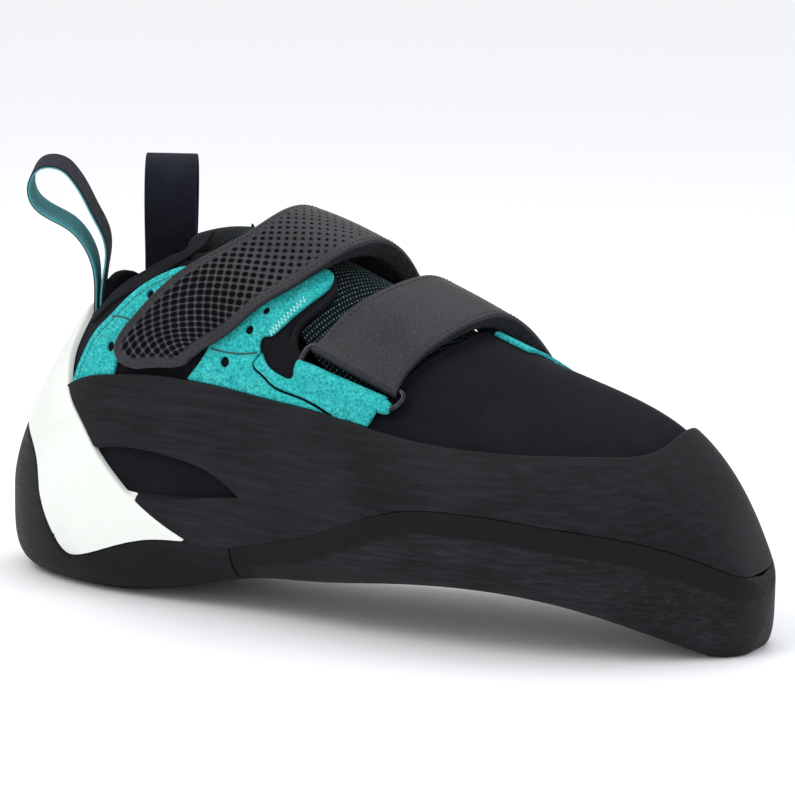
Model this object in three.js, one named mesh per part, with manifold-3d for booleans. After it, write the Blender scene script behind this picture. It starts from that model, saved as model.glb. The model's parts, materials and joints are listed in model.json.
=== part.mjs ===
// Climbing shoe for the right foot, with two opposed straps and a downturned toe.
// Millimetres, +Z up. The heel is towards -X, the toe towards +X, and the outer
// (lateral) side of the foot towards -Y. The shoe stands on the plane z = 0.
import * as THREE from "three";
import { mergeVertices } from "three/addons/utils/BufferGeometryUtils.js";
import Module from "manifold-3d";

const wasm = await Module();
wasm.setup();

// Driving dimensions
const LENGTH = 238;        // upper, from the back of the heel to the tip of the toe
const BALL = 83;           // upper, width that the section table is a share of
const INSTEP = 110;        // height of the upper's crest above the floor
const ARCH = 14.2;         // how far the arch rises above the heel
const CANT = 6;            // how far the outer edge of the forefoot lies above the inner one
const FOOTING = 4.8;       // height of the upper's underside above the floor at the heel
const UPPER_WALL = 1.6;    // microfibre and lining
const RUBBER = 2.3;        // how far the rubber's face stands out from the upper
const SOLE = 5.5;          // how far the rubber's underside lies below the upper
const CLEARANCE = 0.3;     // gap between pieces that touch
const SUEDE = 1.0;         // suede overlay
const TONGUE_WALL = 3.6;   // padded tongue
const LINING_WALL = 2.6;   // padded lining of the collar
const LINING_DEPTH = 22;   // how far the padded lining reaches down from the collar
const LINING_RIM = 1.0;    // how far the lining stands above the edge of the upper
const INSOLE_WALL = 2.8;   // board and footbed
const STRAP_WALL = 1.8;    // closing straps
const WIRE = 1.0;          // radius of the wire of the rings
const FOLD_WALL = 1.0;     // material round a ring's bar
const WEBBING = 15.6;      // width of the pull loops
const LOOP_WALL = 1.3;     // webbing of the pull loops
const LATERAL_LOOP = 45;   // height of the pull loop at the back of the collar
const MEDIAL_LOOP = 39;    // height of the pull loop at the inner side of the collar

// How finely the curved faces are cut
const LONG_STEPS = 30;
const ROUND_STEPS = 20;

// Sections of the upper. at is a share of LENGTH, the widths and the crest's place are
// shares of BALL, top and the bellies are shares of INSTEP, under is a share of ARCH
// above FOOTING, and cant is a share of CANT. round_top and round_under are exponents:
// 2 is an ellipse and more is squarer.
const SECTION_COLUMNS = [
  "at", "lateral", "medial", "crest", "top", "under", "cant",
  "lateral_belly", "medial_belly", "round_top", "round_under",
];
const SECTIONS = [
  [0.000, 0.000, 0.000, 0.000, 0.200, 1.20, 0.00, 0.200, 0.200, 2.00, 2.0],
  [0.020, 0.145, 0.145, 0.000, 0.373, 0.28, 0.00, 0.225, 0.225, 2.00, 2.3],
  [0.060, 0.253, 0.253, 0.000, 0.536, 0.03, 0.00, 0.250, 0.250, 2.10, 2.6],
  [0.120, 0.337, 0.337, 0.000, 0.736, 0.00, 0.00, 0.270, 0.270, 2.20, 3.0],
  [0.200, 0.386, 0.373, 0.000, 0.914, 0.01, 0.00, 0.290, 0.290, 2.40, 3.2],
  [0.300, 0.398, 0.349, 0.000, 1.000, 0.29, 0.00, 0.300, 0.300, 2.40, 3.4],
  [0.400, 0.416, 0.349, 0.012, 0.973, 0.67, 0.08, 0.315, 0.310, 2.20, 3.6],
  [0.500, 0.458, 0.410, 0.036, 0.895, 0.82, 0.17, 0.340, 0.330, 1.90, 4.0],
  [0.600, 0.482, 0.482, 0.072, 0.795, 0.98, 0.33, 0.359, 0.340, 1.75, 5.0],
  [0.700, 0.470, 0.518, 0.108, 0.706, 1.00, 0.58, 0.355, 0.325, 1.70, 6.0],
  [0.800, 0.398, 0.518, 0.120, 0.640, 0.75, 0.83, 0.350, 0.300, 1.65, 6.0],
  [0.900, 0.241, 0.430, 0.180, 0.525, 0.20, 0.90, 0.305, 0.255, 1.70, 6.0],
  [0.960, 0.072, 0.361, 0.190, 0.350, -0.05, 0.25, 0.241, 0.215, 1.80, 5.0],
  [0.985, -0.012, 0.295, 0.150, 0.230, -0.06, 0.08, 0.205, 0.190, 1.90, 4.0],
  [1.000, -0.145, 0.145, 0.145, 0.140, 0.70, 0.00, 0.140, 0.140, 2.00, 2.5],
];
const SQUARER_SOLE = 3;    // added to round_under on the rubber, for a crisp ground edge

// Lines in the side view, at as a share of LENGTH and up as a share of INSTEP.
// Top edge of the outsole's side wall, from the arch to the toe.
const WALL_TOP = [
  [0.330, 0.178], [0.370, 0.178], [0.426, 0.204], [0.486, 0.239], [0.544, 0.285],
  [0.600, 0.335], [0.645, 0.362], [0.700, 0.369], [0.761, 0.362], [0.825, 0.344],
  [0.891, 0.320], [0.959, 0.258], [1.000, 0.207], [1.060, 0.180],
];
// Top edge of the side rubber, from the heel to the toe's opening.
const RAND_TOP = [
  [0.136, 0.556], [0.160, 0.583], [0.206, 0.603], [0.252, 0.615], [0.325, 0.615],
  [0.383, 0.605], [0.427, 0.595], [0.484, 0.584], [0.526, 0.573], [0.581, 0.553],
  [0.634, 0.535], [0.683, 0.525], [0.739, 0.519], [0.800, 0.515], [0.850, 0.512],
  [0.880, 0.514], [0.893, 0.530], [0.897, 0.600], [0.897, 1.200],
];
// Front edge of the tension band, from the collar down to its tip.
const BAND_FRONT = [
  [0.134, 0.900], [0.130, 0.740], [0.122, 0.660], [0.128, 0.580], [0.138, 0.530],
  [0.163, 0.468], [0.190, 0.395], [0.222, 0.324], [0.260, 0.257], [0.295, 0.213],
  [0.332, 0.178],
];
// Lower and rear edge of the tension band, from its tip round to the back of the heel.
const BAND_REAR = [
  [0.332, 0.178], [0.271, 0.168], [0.207, 0.125], [0.141, 0.086], [0.122, 0.120],
  [0.100, 0.185], [0.089, 0.250], [0.084, 0.317], [0.071, 0.365], [0.053, 0.395],
  [-0.050, 0.430],
];
// Edge between the heel cup and the outsole, from the floor up.
const SOLE_REAR = [[0.380, -0.100], [0.392, 0.080], [0.390, 0.179]];
// Eye-shaped cut-out of the side rubber.
const EYE = [
  [0.205, 0.392], [0.226, 0.413], [0.271, 0.411], [0.330, 0.388], [0.367, 0.361],
  [0.397, 0.327], [0.345, 0.304], [0.294, 0.285], [0.262, 0.283], [0.238, 0.312],
  [0.220, 0.345],
];
// Edge of the collar, from the back to the instep.
const COLLAR = [
  [-0.060, 0.750], [0.105, 0.755], [0.140, 0.742], [0.172, 0.795], [0.200, 0.836],
  [0.232, 0.872], [0.260, 0.912], [0.290, 0.960], [0.325, 1.040], [0.330, 1.200],
];
// Seam between the front quarter and the ring's tab on the outer side.
const TAB_SEAM = [
  [0.402, 0.678], [0.438, 0.622], [0.482, 0.599], [0.510, 0.580], [0.540, 0.550],
];
// Suede pieces seen from the side; what hangs below the top of the side rubber is cut off.
const REAR_QUARTER = [
  [0.134, 0.500], [0.137, 0.610], [0.147, 0.637], [0.168, 0.715], [0.188, 0.757],
  [0.206, 0.805], [0.232, 0.850], [0.260, 0.884], [0.289, 0.905], [0.310, 0.900],
  [0.275, 0.740], [0.212, 0.640], [0.206, 0.500],
];
const FRONT_QUARTER = [
  [0.310, 0.500], [0.312, 0.660], [0.300, 0.740], [0.340, 0.880], [0.400, 0.935],
  [0.452, 0.915], [0.470, 0.890], [0.474, 0.876], [0.457, 0.829], [0.432, 0.762],
  [0.415, 0.744], [0.412, 0.715],
];
const LATERAL_TAB = [
  [0.440, 0.650], [0.462, 0.672], [0.474, 0.690], [0.592, 0.622], [0.596, 0.600], [0.574, 0.500],
];
const MEDIAL_QUARTER = [
  [0.134, 0.500], [0.137, 0.610], [0.147, 0.637], [0.168, 0.715], [0.188, 0.757],
  [0.206, 0.805], [0.232, 0.850], [0.260, 0.884], [0.300, 0.930], [0.340, 0.930],
  [0.380, 0.900], [0.400, 0.780], [0.402, 0.500],
];
const MEDIAL_TAB = [
  [0.406, 0.500], [0.408, 0.660], [0.425, 0.668], [0.545, 0.612], [0.552, 0.590], [0.550, 0.500],
];
const ANCHOR = [
  [0.600, 0.500], [0.612, 0.680], [0.650, 0.775], [0.690, 0.745], [0.720, 0.700],
  [0.745, 0.600], [0.740, 0.480],
];
// Throat in plan, at as a share of LENGTH and across as a share of BALL.
const THROAT = [
  [0.285, -0.235], [0.350, -0.170], [0.420, -0.120], [0.462, -0.105], [0.480, -0.165],
  [0.462, -0.250], [0.445, -0.310], [0.478, -0.345], [0.590, -0.330], [0.608, -0.220],
  [0.628, -0.090], [0.637, 0.030], [0.637, 0.160], [0.622, 0.310], [0.580, 0.360],
  [0.525, 0.330], [0.460, 0.245], [0.400, 0.205], [0.335, 0.205], [0.285, 0.235],
];
const TONGUE_PLAN = [
  [0.262, -0.150], [0.290, -0.200], [0.420, -0.260], [0.560, -0.370], [0.640, -0.330],
  [0.690, 0.000], [0.690, 0.200], [0.640, 0.400], [0.560, 0.400], [0.420, 0.320],
  [0.290, 0.240], [0.262, 0.170],
];
// Opening underneath, in plan.
const UNDER_PLAN = [
  [0.060, -0.080], [0.100, -0.170], [0.200, -0.220], [0.350, -0.230], [0.500, -0.280],
  [0.620, -0.310], [0.720, -0.290], [0.820, -0.190], [0.900, -0.040], [0.935, 0.100],
  [0.925, 0.230], [0.860, 0.330], [0.760, 0.370], [0.640, 0.330], [0.500, 0.240],
  [0.350, 0.170], [0.200, 0.200], [0.100, 0.170], [0.060, 0.080],
];

// Straps, one row for each station along them. The edges are given on the upper's own
// surface, at as a share of LENGTH and turn in degrees round the section (0 is the outer
// belly, 90 the crest, 180 the inner belly). lift is the outer face's height off it.
const STRAP_COLUMNS = ["rear_at", "rear_turn", "front_at", "front_turn", "lift"];
const ANKLE_STRAP = [
  [0.2180, 29.5, 0.2500, 26.5, 3.7],
  [0.2120, 31.5, 0.2900, 25.8, 3.7],
  [0.2140, 34.5, 0.3180, 26.5, 3.7],
  [0.2310, 38.5, 0.3380, 29.5, 3.7],
  [0.2540, 44.0, 0.3590, 33.0, 3.8],
  [0.2970, 54.0, 0.3860, 40.5, 4.0],
  [0.3270, 61.0, 0.4120, 49.0, 4.2],
  [0.3500, 68.0, 0.4360, 56.5, 4.8],
  [0.3660, 78.0, 0.4580, 67.5, 5.8],
  [0.3750, 90.0, 0.4750, 81.0, 7.5],
  [0.3840, 103.0, 0.4890, 97.0, 8.6],
  [0.3940, 116.0, 0.5030, 112.0, 8.2],
  [0.4060, 128.0, 0.5180, 125.0, 6.2],
  [0.4180, 137.0, 0.5310, 135.0, 4.6],
  [0.4230, 141.0, 0.5370, 139.0, 4.4],
];
const FOREFOOT_STRAP = [
  [0.4890, 42.5, 0.5990, 38.8, 4.4],
  [0.4930, 45.0, 0.6010, 41.5, 4.5],
  [0.5020, 53.0, 0.6030, 47.5, 4.7],
  [0.5120, 60.0, 0.6100, 54.5, 5.0],
  [0.5270, 69.0, 0.6210, 63.5, 5.5],
  [0.5420, 80.0, 0.6330, 75.0, 6.2],
  [0.5540, 92.0, 0.6440, 89.0, 6.8],
  [0.5660, 105.0, 0.6570, 103.0, 6.8],
  [0.5790, 117.0, 0.6710, 116.0, 6.0],
  [0.5930, 129.0, 0.6850, 129.0, 4.8],
  [0.6030, 138.0, 0.6960, 139.0, 4.0],
];
// Corners of the rings on the upper's surface: at and turn, tab side first.
const LATERAL_RING = [[0.470, 35.6], [0.602, 34.2], [0.611, 40.4], [0.479, 43.6]];
const MEDIAL_RING = [[0.413, 147.4], [0.546, 146.0], [0.544, 139.4], [0.414, 140.6]];
const BAR_LIFT = WIRE + FOLD_WALL + CLEARANCE * 2;
const RING_BEND = 0.44;    // share of a ring's shorter side that its bends take
const INSOLE_END = 0.06;   // station of the insole's rear end, and of its front end from the toe

// Outlines of the pull loops, right and up as shares of their heights.
const LEANING_LOOP = [
  [0.018, 0.000], [0.022, 0.120], [0.036, 0.250], [0.052, 0.400], [0.034, 0.500],
  [-0.035, 0.640], [-0.113, 0.790], [-0.170, 0.875], [-0.235, 0.940], [-0.315, 0.966],
  [-0.395, 0.950], [-0.447, 0.885], [-0.462, 0.800], [-0.440, 0.725], [-0.324, 0.627],
  [-0.195, 0.557], [-0.085, 0.432], [-0.033, 0.300], [-0.018, 0.150], [-0.018, 0.000],
];
const UPRIGHT_LOOP = [
  [-0.02, 0.00], [-0.06, 0.24], [-0.15, 0.50], [-0.19, 0.76], [-0.13, 0.94], [0.00, 1.01],
  [0.13, 0.94], [0.19, 0.76], [0.15, 0.50], [0.06, 0.24], [0.02, 0.00],
];
const LOOP_STEPS = 22;

// Where the loops leave the collar, as shares of LENGTH, BALL and INSTEP, and the
// heading in degrees of each loop's own right-hand direction
const LATERAL_FOOT = [0.1336, -0.128, 0.7445];
const LATERAL_HEADING = 28;
const MEDIAL_FOOT = [0.1695, 0.187, 0.786];
const MEDIAL_HEADING = 118;

// Numeric tools
const radians = THREE.MathUtils.degToRad;
const stationOf = (at) => Math.acos(THREE.MathUtils.clamp(1 - 2 * at, -1, 1)) / Math.PI;

function naturalSpline(knots, values) {
  const last = knots.length - 1;
  const step = knots.slice(1).map((knot, i) => knot - knots[i]);
  const slope = step.map((width, i) => (values[i + 1] - values[i]) / width);
  const bend = new Array(last + 1).fill(0);
  const pull = new Array(last + 1).fill(0);
  for (let i = 1; i < last; i += 1) {
    const pivot = 2 * (step[i - 1] + step[i]) - step[i - 1] * pull[i - 1];
    pull[i] = step[i] / pivot;
    bend[i] = (6 * (slope[i] - slope[i - 1]) - step[i - 1] * bend[i - 1]) / pivot;
  }
  for (let i = last - 1; i > 0; i -= 1) bend[i] -= pull[i] * bend[i + 1];
  return (knot) => {
    let i = 0;
    while (i < last - 1 && knot > knots[i + 1]) i += 1;
    const a = (knots[i + 1] - knot) / step[i];
    const b = 1 - a;
    const curve = ((a ** 3 - a) * bend[i] + (b ** 3 - b) * bend[i + 1]) * step[i] ** 2 / 6;
    return a * values[i] + b * values[i + 1] + curve;
  };
}

const column = (name) => SECTION_COLUMNS.indexOf(name);
const knots = SECTIONS.map((row) => stationOf(row[column("at")]));
const curveOf = (name, size) => naturalSpline(knots, SECTIONS.map((row) => row[column(name)] * size));
const SECTION = {
  lateral: curveOf("lateral", -BALL),
  medial: curveOf("medial", BALL),
  crest: curveOf("crest", BALL),
  top: curveOf("top", INSTEP),
  under: curveOf("under", ARCH),
  cant: curveOf("cant", CANT),
  lateralBelly: curveOf("lateral_belly", INSTEP),
  medialBelly: curveOf("medial_belly", INSTEP),
  roundTop: curveOf("round_top", 1),
  roundUnder: curveOf("round_under", 1),
};

// A point of the upper's outer face at a station (0 heel to 1 toe) and a turn in radians
function facePoint(station, turn, squarer = 0) {
  const x = LENGTH * (1 - Math.cos(Math.PI * station)) / 2;
  const cos = Math.cos(turn);
  const sin = Math.sin(turn);
  const isUpper = sin >= 0;
  const power = isUpper ? SECTION.roundTop(station) : SECTION.roundUnder(station) + squarer;
  const across = Math.abs(cos) ** (2 / power);
  const rise = Math.abs(sin) ** (2 / power);
  const lateral = SECTION.lateral(station);
  const medial = SECTION.medial(station);
  const side = cos >= 0 ? lateral : medial;
  const belly = cos >= 0 ? SECTION.lateralBelly(station) : SECTION.medialBelly(station);
  const middle = isUpper ? SECTION.crest(station) : (lateral + medial) / 2;
  const tilt = SECTION.cant(station) * (1 + Math.sign(cos) * across) / 2;
  const end = isUpper ? SECTION.top(station) : FOOTING + SECTION.under(station) + tilt;
  return new THREE.Vector3(x, middle + (side - middle) * across, belly + (end - belly) * rise);
}

// Small steps along and round the last that give the face's direction
const NEAR_STATION = 0.002;
const NEAR_TURN = 0.02;

function faceNormal(station, turn, squarer = 0) {
  const s = THREE.MathUtils.clamp(station, NEAR_STATION * 2, 1 - NEAR_STATION * 2);
  const ahead = facePoint(s + NEAR_STATION, turn, squarer);
  const along = ahead.sub(facePoint(s - NEAR_STATION, turn, squarer));
  const round = facePoint(s, turn + NEAR_TURN, squarer).sub(facePoint(s, turn - NEAR_TURN, squarer));
  const normal = along.cross(round).normalize();
  if (station <= 0) return new THREE.Vector3(-1, 0, 0);
  if (station >= 1) return new THREE.Vector3(1, 0, 0);
  return normal;
}

// The upper's face moved out by a distance, and the outside of all the rubber
const onUpper = (station, turn, lift) =>
  facePoint(station, turn).addScaledVector(faceNormal(station, turn), lift);

function onRubber(station, turn) {
  const point = facePoint(station, turn, SQUARER_SOLE);
  point.addScaledVector(faceNormal(station, turn, SQUARER_SOLE), RUBBER);
  const down = Math.max(0, -Math.sin(turn));
  point.z -= (SOLE - RUBBER) * down;
  point.z = Math.max(point.z, 0);
  return point;
}

// Solids
function solidFrom(positions, triangles) {
  const mesh = new wasm.Mesh({
    numProp: 3,
    vertProperties: new Float32Array(positions.flatMap((p) => [p.x, p.y, p.z])),
    triVerts: new Uint32Array(triangles.flat()),
  });
  return new wasm.Manifold(mesh);
}

function solidOf(geometry) {
  const plain = geometry.clone();
  plain.deleteAttribute("normal");
  plain.deleteAttribute("uv");
  const merged = mergeVertices(plain, 1e-4);
  return new wasm.Manifold(new wasm.Mesh({
    numProp: 3,
    vertProperties: new Float32Array(merged.attributes.position.array),
    triVerts: new Uint32Array(merged.index.array),
  }));
}

function geometryOf(solid) {
  const mesh = solid.getMesh();
  const geometry = new THREE.BufferGeometry();
  geometry.setAttribute("position", new THREE.BufferAttribute(new Float32Array(mesh.vertProperties), 3));
  geometry.setIndex(new THREE.BufferAttribute(new Uint32Array(mesh.triVerts), 1));
  geometry.computeVertexNormals();
  return geometry;
}

// Closed solid of a face function that runs from pole to pole
function closedForm(pointAt) {
  const points = [pointAt(0, 0)];
  const triangles = [];
  const ring = (row, step) => 1 + (row - 1) * ROUND_STEPS + (step % ROUND_STEPS);
  for (let row = 1; row < LONG_STEPS; row += 1) {
    for (let step = 0; step < ROUND_STEPS; step += 1) {
      points.push(pointAt(row / LONG_STEPS, 2 * Math.PI * step / ROUND_STEPS));
    }
  }
  points.push(pointAt(1, 0));
  const toe = points.length - 1;
  for (let step = 0; step < ROUND_STEPS; step += 1) {
    triangles.push([0, ring(1, step), ring(1, step + 1)]);
    triangles.push([toe, ring(LONG_STEPS - 1, step + 1), ring(LONG_STEPS - 1, step)]);
    for (let row = 1; row < LONG_STEPS - 1; row += 1) {
      const [a, b] = [ring(row, step), ring(row + 1, step)];
      const [c, d] = [ring(row + 1, step + 1), ring(row, step + 1)];
      triangles.push([a, b, c], [a, c, d]);
    }
  }
  const solid = solidFrom(points, triangles);
  return solid.volume() > 0 ? solid : solidFrom(points, triangles.map(([a, b, c]) => [a, c, b]));
}

// Prism of a side-view outline between two widths
function sidePrism(outline, from = -BALL, to = BALL) {
  const shape = new THREE.Shape(outline.map(([x, z]) => new THREE.Vector2(x, z)));
  const geometry = new THREE.ExtrudeGeometry(shape, { depth: to - from, bevelEnabled: false });
  geometry.rotateX(Math.PI / 2);
  geometry.translate(0, to, 0);
  return solidOf(geometry);
}

function planPrism(outline, from, to) {
  const shape = new THREE.Shape(outline.map(([x, y]) => new THREE.Vector2(x, y)));
  const geometry = new THREE.ExtrudeGeometry(shape, { depth: to - from, bevelEnabled: false });
  geometry.translate(0, 0, from);
  return solidOf(geometry);
}

const sideLine = (line) => line.map(([at, up]) => [at * LENGTH, up * INSTEP]);
const planLine = (line) => line.map(([at, across]) => [at * LENGTH, across * BALL]);

// A line moved sideways, to the left of its direction when the distance is positive
function moved(line, distance) {
  return line.map(([x, y], i) => {
    const [before, after] = [line[Math.max(i - 1, 0)], line[Math.min(i + 1, line.length - 1)]];
    const [dx, dy] = [after[0] - before[0], after[1] - before[1]];
    const length = Math.hypot(dx, dy);
    return [x - dy / length * distance, y + dx / length * distance];
  });
}

// Ribbon of rows, each with outer and inner points across its width
function ribbon(rows) {
  const across = rows[0].outer.length;
  const points = rows.flatMap((row) => [...row.outer, ...row.inner]);
  const at = (row, side, i) => row * across * 2 + side * across + i;
  const triangles = [];
  const quad = (a, b, c, d) => triangles.push([a, b, c], [a, c, d]);
  for (let row = 0; row < rows.length - 1; row += 1) {
    for (let i = 0; i < across - 1; i += 1) {
      quad(at(row, 0, i), at(row + 1, 0, i), at(row + 1, 0, i + 1), at(row, 0, i + 1));
      quad(at(row, 1, i + 1), at(row + 1, 1, i + 1), at(row + 1, 1, i), at(row, 1, i));
    }
    quad(at(row, 1, 0), at(row + 1, 1, 0), at(row + 1, 0, 0), at(row, 0, 0));
    quad(at(row, 0, across - 1), at(row + 1, 0, across - 1),
      at(row + 1, 1, across - 1), at(row, 1, across - 1));
  }
  const end = rows.length - 1;
  for (let i = 0; i < across - 1; i += 1) {
    quad(at(0, 0, i), at(0, 0, i + 1), at(0, 1, i + 1), at(0, 1, i));
    quad(at(end, 0, i + 1), at(end, 0, i), at(end, 1, i), at(end, 1, i + 1));
  }
  const solid = solidFrom(points, triangles);
  return solid.volume() > 0 ? solid : solidFrom(points, triangles.map(([a, b, c]) => [a, c, b]));
}

const STRAP_ACROSS = 4;

function strapRibbon(table) {
  const columns = STRAP_COLUMNS.map((name) => STRAP_COLUMNS.indexOf(name));
  const [rearAt, rearTurn, frontAt, frontTurn, lift] = columns;
  return ribbon(table.map((row) => {
    const spot = (i, height) => {
      const share = i / STRAP_ACROSS;
      const at = THREE.MathUtils.lerp(row[rearAt], row[frontAt], share);
      const turn = THREE.MathUtils.lerp(row[rearTurn], row[frontTurn], share);
      return onUpper(stationOf(at), radians(turn), height);
    };
    const steps = Array.from({ length: STRAP_ACROSS + 1 }, (_, i) => i);
    return {
      outer: steps.map((i) => spot(i, row[lift])),
      inner: steps.map((i) => spot(i, row[lift] - STRAP_WALL)),
    };
  }));
}

// Round tube along points, open with flat ends or closed on itself
function tube(points, radius, isClosed, sides = 8) {
  const count = points.length;
  const rings = [];
  let side = new THREE.Vector3(0, 0, 1);
  for (let i = 0; i < count; i += 1) {
    const before = isClosed ? points[(i + count - 1) % count] : points[Math.max(i - 1, 0)];
    const after = isClosed ? points[(i + 1) % count] : points[Math.min(i + 1, count - 1)];
    const along = after.clone().sub(before).normalize();
    side = side.clone().addScaledVector(along, -side.dot(along)).normalize();
    const up = along.clone().cross(side);
    rings.push(Array.from({ length: sides }, (_, k) => {
      const turn = 2 * Math.PI * k / sides;
      return points[i].clone()
        .addScaledVector(side, radius * Math.cos(turn))
        .addScaledVector(up, radius * Math.sin(turn));
    }));
  }
  const vertices = rings.flat();
  const triangles = [];
  const spans = isClosed ? count : count - 1;
  for (let i = 0; i < spans; i += 1) {
    for (let k = 0; k < sides; k += 1) {
      const next = (i + 1) % count;
      const [a, b] = [i * sides + k, next * sides + k];
      const [c, d] = [next * sides + (k + 1) % sides, i * sides + (k + 1) % sides];
      triangles.push([a, c, b], [a, d, c]);
    }
  }
  if (!isClosed) {
    const tail = (count - 1) * sides;
    for (let k = 1; k < sides - 1; k += 1) {
      triangles.push([0, k + 1, k], [tail, tail + k, tail + k + 1]);
    }
  }
  const solid = solidFrom(vertices, triangles);
  return solid.volume() > 0 ? solid : solidFrom(vertices, triangles.map(([a, b, c]) => [a, c, b]));
}

// Forms that the pieces are cut from
const upperOut = closedForm((station, turn) => onUpper(station, turn, 0));
const upperIn = closedForm((station, turn) => onUpper(station, turn, -UPPER_WALL));
const overlayIn = closedForm((station, turn) => onUpper(station, turn, CLEARANCE));
const suedeOut = closedForm((station, turn) => onUpper(station, turn, CLEARANCE + SUEDE));
const strapIn = closedForm((station, turn) => onUpper(station, turn, CLEARANCE * 2 + SUEDE));
const innerOut = closedForm((station, turn) => onUpper(station, turn, -UPPER_WALL - CLEARANCE));
const tongueIn = closedForm((station, turn) =>
  onUpper(station, turn, -UPPER_WALL - CLEARANCE - TONGUE_WALL));
const liningIn = closedForm((station, turn) =>
  onUpper(station, turn, -UPPER_WALL - CLEARANCE - LINING_WALL));
const rubberOut = closedForm(onRubber);
const rubber = rubberOut.subtract(overlayIn);
const suede = suedeOut.subtract(overlayIn);

const FAR = LENGTH * 1.3;
const BEHIND = -LENGTH * 0.3;
const BELOW = -INSTEP;
const ABOVE = INSTEP * 2;

// Side-view regions of the rubber pieces, each kept half a clearance from its edges
const half = CLEARANCE / 2;
const wallTop = sideLine(WALL_TOP);
const bandFront = sideLine(BAND_FRONT);
const bandRear = sideLine(BAND_REAR);
const soleRear = sideLine(SOLE_REAR);
const randTop = sideLine(RAND_TOP);

const pastBand = wallTop.filter(([x]) => x > bandFront.at(-1)[0] + RUBBER);
const pastCup = wallTop.filter(([x]) => x > soleRear.at(-1)[0] + RUBBER);

const soleRegion = sidePrism([
  ...moved(soleRear, -half),
  ...moved(pastCup, -half),
  [FAR, moved(wallTop, -half).at(-1)[1]],
  [FAR, BELOW],
]);
const cupRegion = sidePrism([
  ...moved(bandRear, half),
  [BEHIND, bandRear.at(-1)[1] - half],
  [BEHIND, BELOW],
  ...moved(soleRear, half),
]);
const bandRegion = sidePrism([
  ...moved(bandFront, -half),
  ...moved(bandRear.slice(1), -half),
  [BEHIND, bandRear.at(-1)[1] + half],
  [BEHIND, bandFront[0][1]],
]);
const randRegion = sidePrism([
  ...moved(bandFront.filter(([, z]) => z < randTop[0][1]), half),
  ...moved(pastBand, half),
  [FAR, moved(wallTop, half).at(-1)[1]],
  [FAR, ABOVE],
  ...[...moved(randTop, -half)].reverse(),
]);
const collarLine = sideLine(COLLAR);
const aboveCollar = (rise) => sidePrism([
  ...moved(collarLine, rise),
  [collarLine.at(-1)[0], ABOVE],
  [BEHIND, ABOVE],
  [BEHIND, collarLine[0][1] + rise],
]);
const belowRand = sidePrism([...moved(randTop, CLEARANCE), [FAR, ABOVE], [FAR, BELOW], [BEHIND, BELOW],
  [BEHIND, randTop[0][1]]]);

const lateralHalf = (line) => sidePrism(line, -BALL, 0);
const medialHalf = (line) => sidePrism(line, 0, BALL);

// Pieces
function makeUpper() {
  return upperOut.subtract(upperIn)
    .subtract(aboveCollar(0))
    .subtract(planPrism(planLine(THROAT), INSTEP / 2, ABOVE))
    .subtract(planPrism(planLine(UNDER_PLAN), BELOW, INSTEP / 3));
}

function makeInsole() {
  const count = LONG_STEPS / 2;
  const stations = Array.from({ length: count },
    (_, i) => THREE.MathUtils.lerp(INSOLE_END, 1 - INSOLE_END, i / (count - 1)));
  const rows = stations.map((station) => {
    const x = LENGTH * (1 - Math.cos(Math.PI * station)) / 2;
    const floor = FOOTING + SECTION.under(station) + UPPER_WALL + CLEARANCE + INSOLE_WALL;
    const tilt = SECTION.cant(station);
    const edge = (y, z) => new THREE.Vector3(x, y, z);
    return {
      outer: [edge(-BALL, floor + tilt), edge(BALL, floor)],
      inner: [edge(-BALL, BELOW), edge(BALL, BELOW)],
    };
  });
  return innerOut.intersect(ribbon(rows));
}

const makeTongue = () => innerOut.subtract(tongueIn)
  .intersect(planPrism(planLine(TONGUE_PLAN), INSTEP / 2, ABOVE));

function makeLining() {
  const frontEnd = TONGUE_PLAN[0][0] * LENGTH - CLEARANCE * 4;
  const line = collarLine.filter(([x]) => x < frontEnd);
  const drop = line.map(([x, z]) => [x, z - LINING_DEPTH]).reverse();
  return innerOut.subtract(liningIn).intersect(sidePrism([...moved(line, LINING_RIM), ...drop]));
}

function ringCorners(corners) {
  return corners.map(([at, turn]) => onUpper(stationOf(at), radians(turn), BAR_LIFT));
}

function ringPath(corners) {
  const spots = ringCorners(corners);
  const path = [];
  spots.forEach((spot, i) => {
    const before = spots[(i + 3) % 4];
    const after = spots[(i + 1) % 4];
    const reach = Math.min(spot.distanceTo(before), spot.distanceTo(after)) * RING_BEND;
    const into = spot.clone().add(before.clone().sub(spot).setLength(reach));
    const out = spot.clone().add(after.clone().sub(spot).setLength(reach));
    const turn = new THREE.QuadraticBezierCurve3(into, spot, out);
    path.push(...turn.getPoints(3));
  });
  return path;
}

const ringTube = (corners, radius) => tube(ringPath(corners), radius, true);

// Fold of cloth round one bar of a ring
function fold(corners, first, second) {
  const spots = ringCorners(corners);
  const inset = WIRE * 3;
  const [from, to] = [spots[first], spots[second]];
  const way = to.clone().sub(from).setLength(inset);
  const radius = WIRE + CLEARANCE + FOLD_WALL;
  return tube([from.clone().add(way), to.clone().sub(way)], radius, false, 10);
}

function ringTab(region, corners) {
  return suede.intersect(region)
    .add(fold(corners, 0, 1).subtract(overlayIn))
    .subtract(belowRand)
    .subtract(ringTube(corners, WIRE + CLEARANCE));
}

function strap(table, corners) {
  return strapRibbon(table)
    .add(fold(corners, 3, 2))
    .subtract(strapIn)
    .subtract(ringTube(corners, WIRE + CLEARANCE));
}

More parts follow.
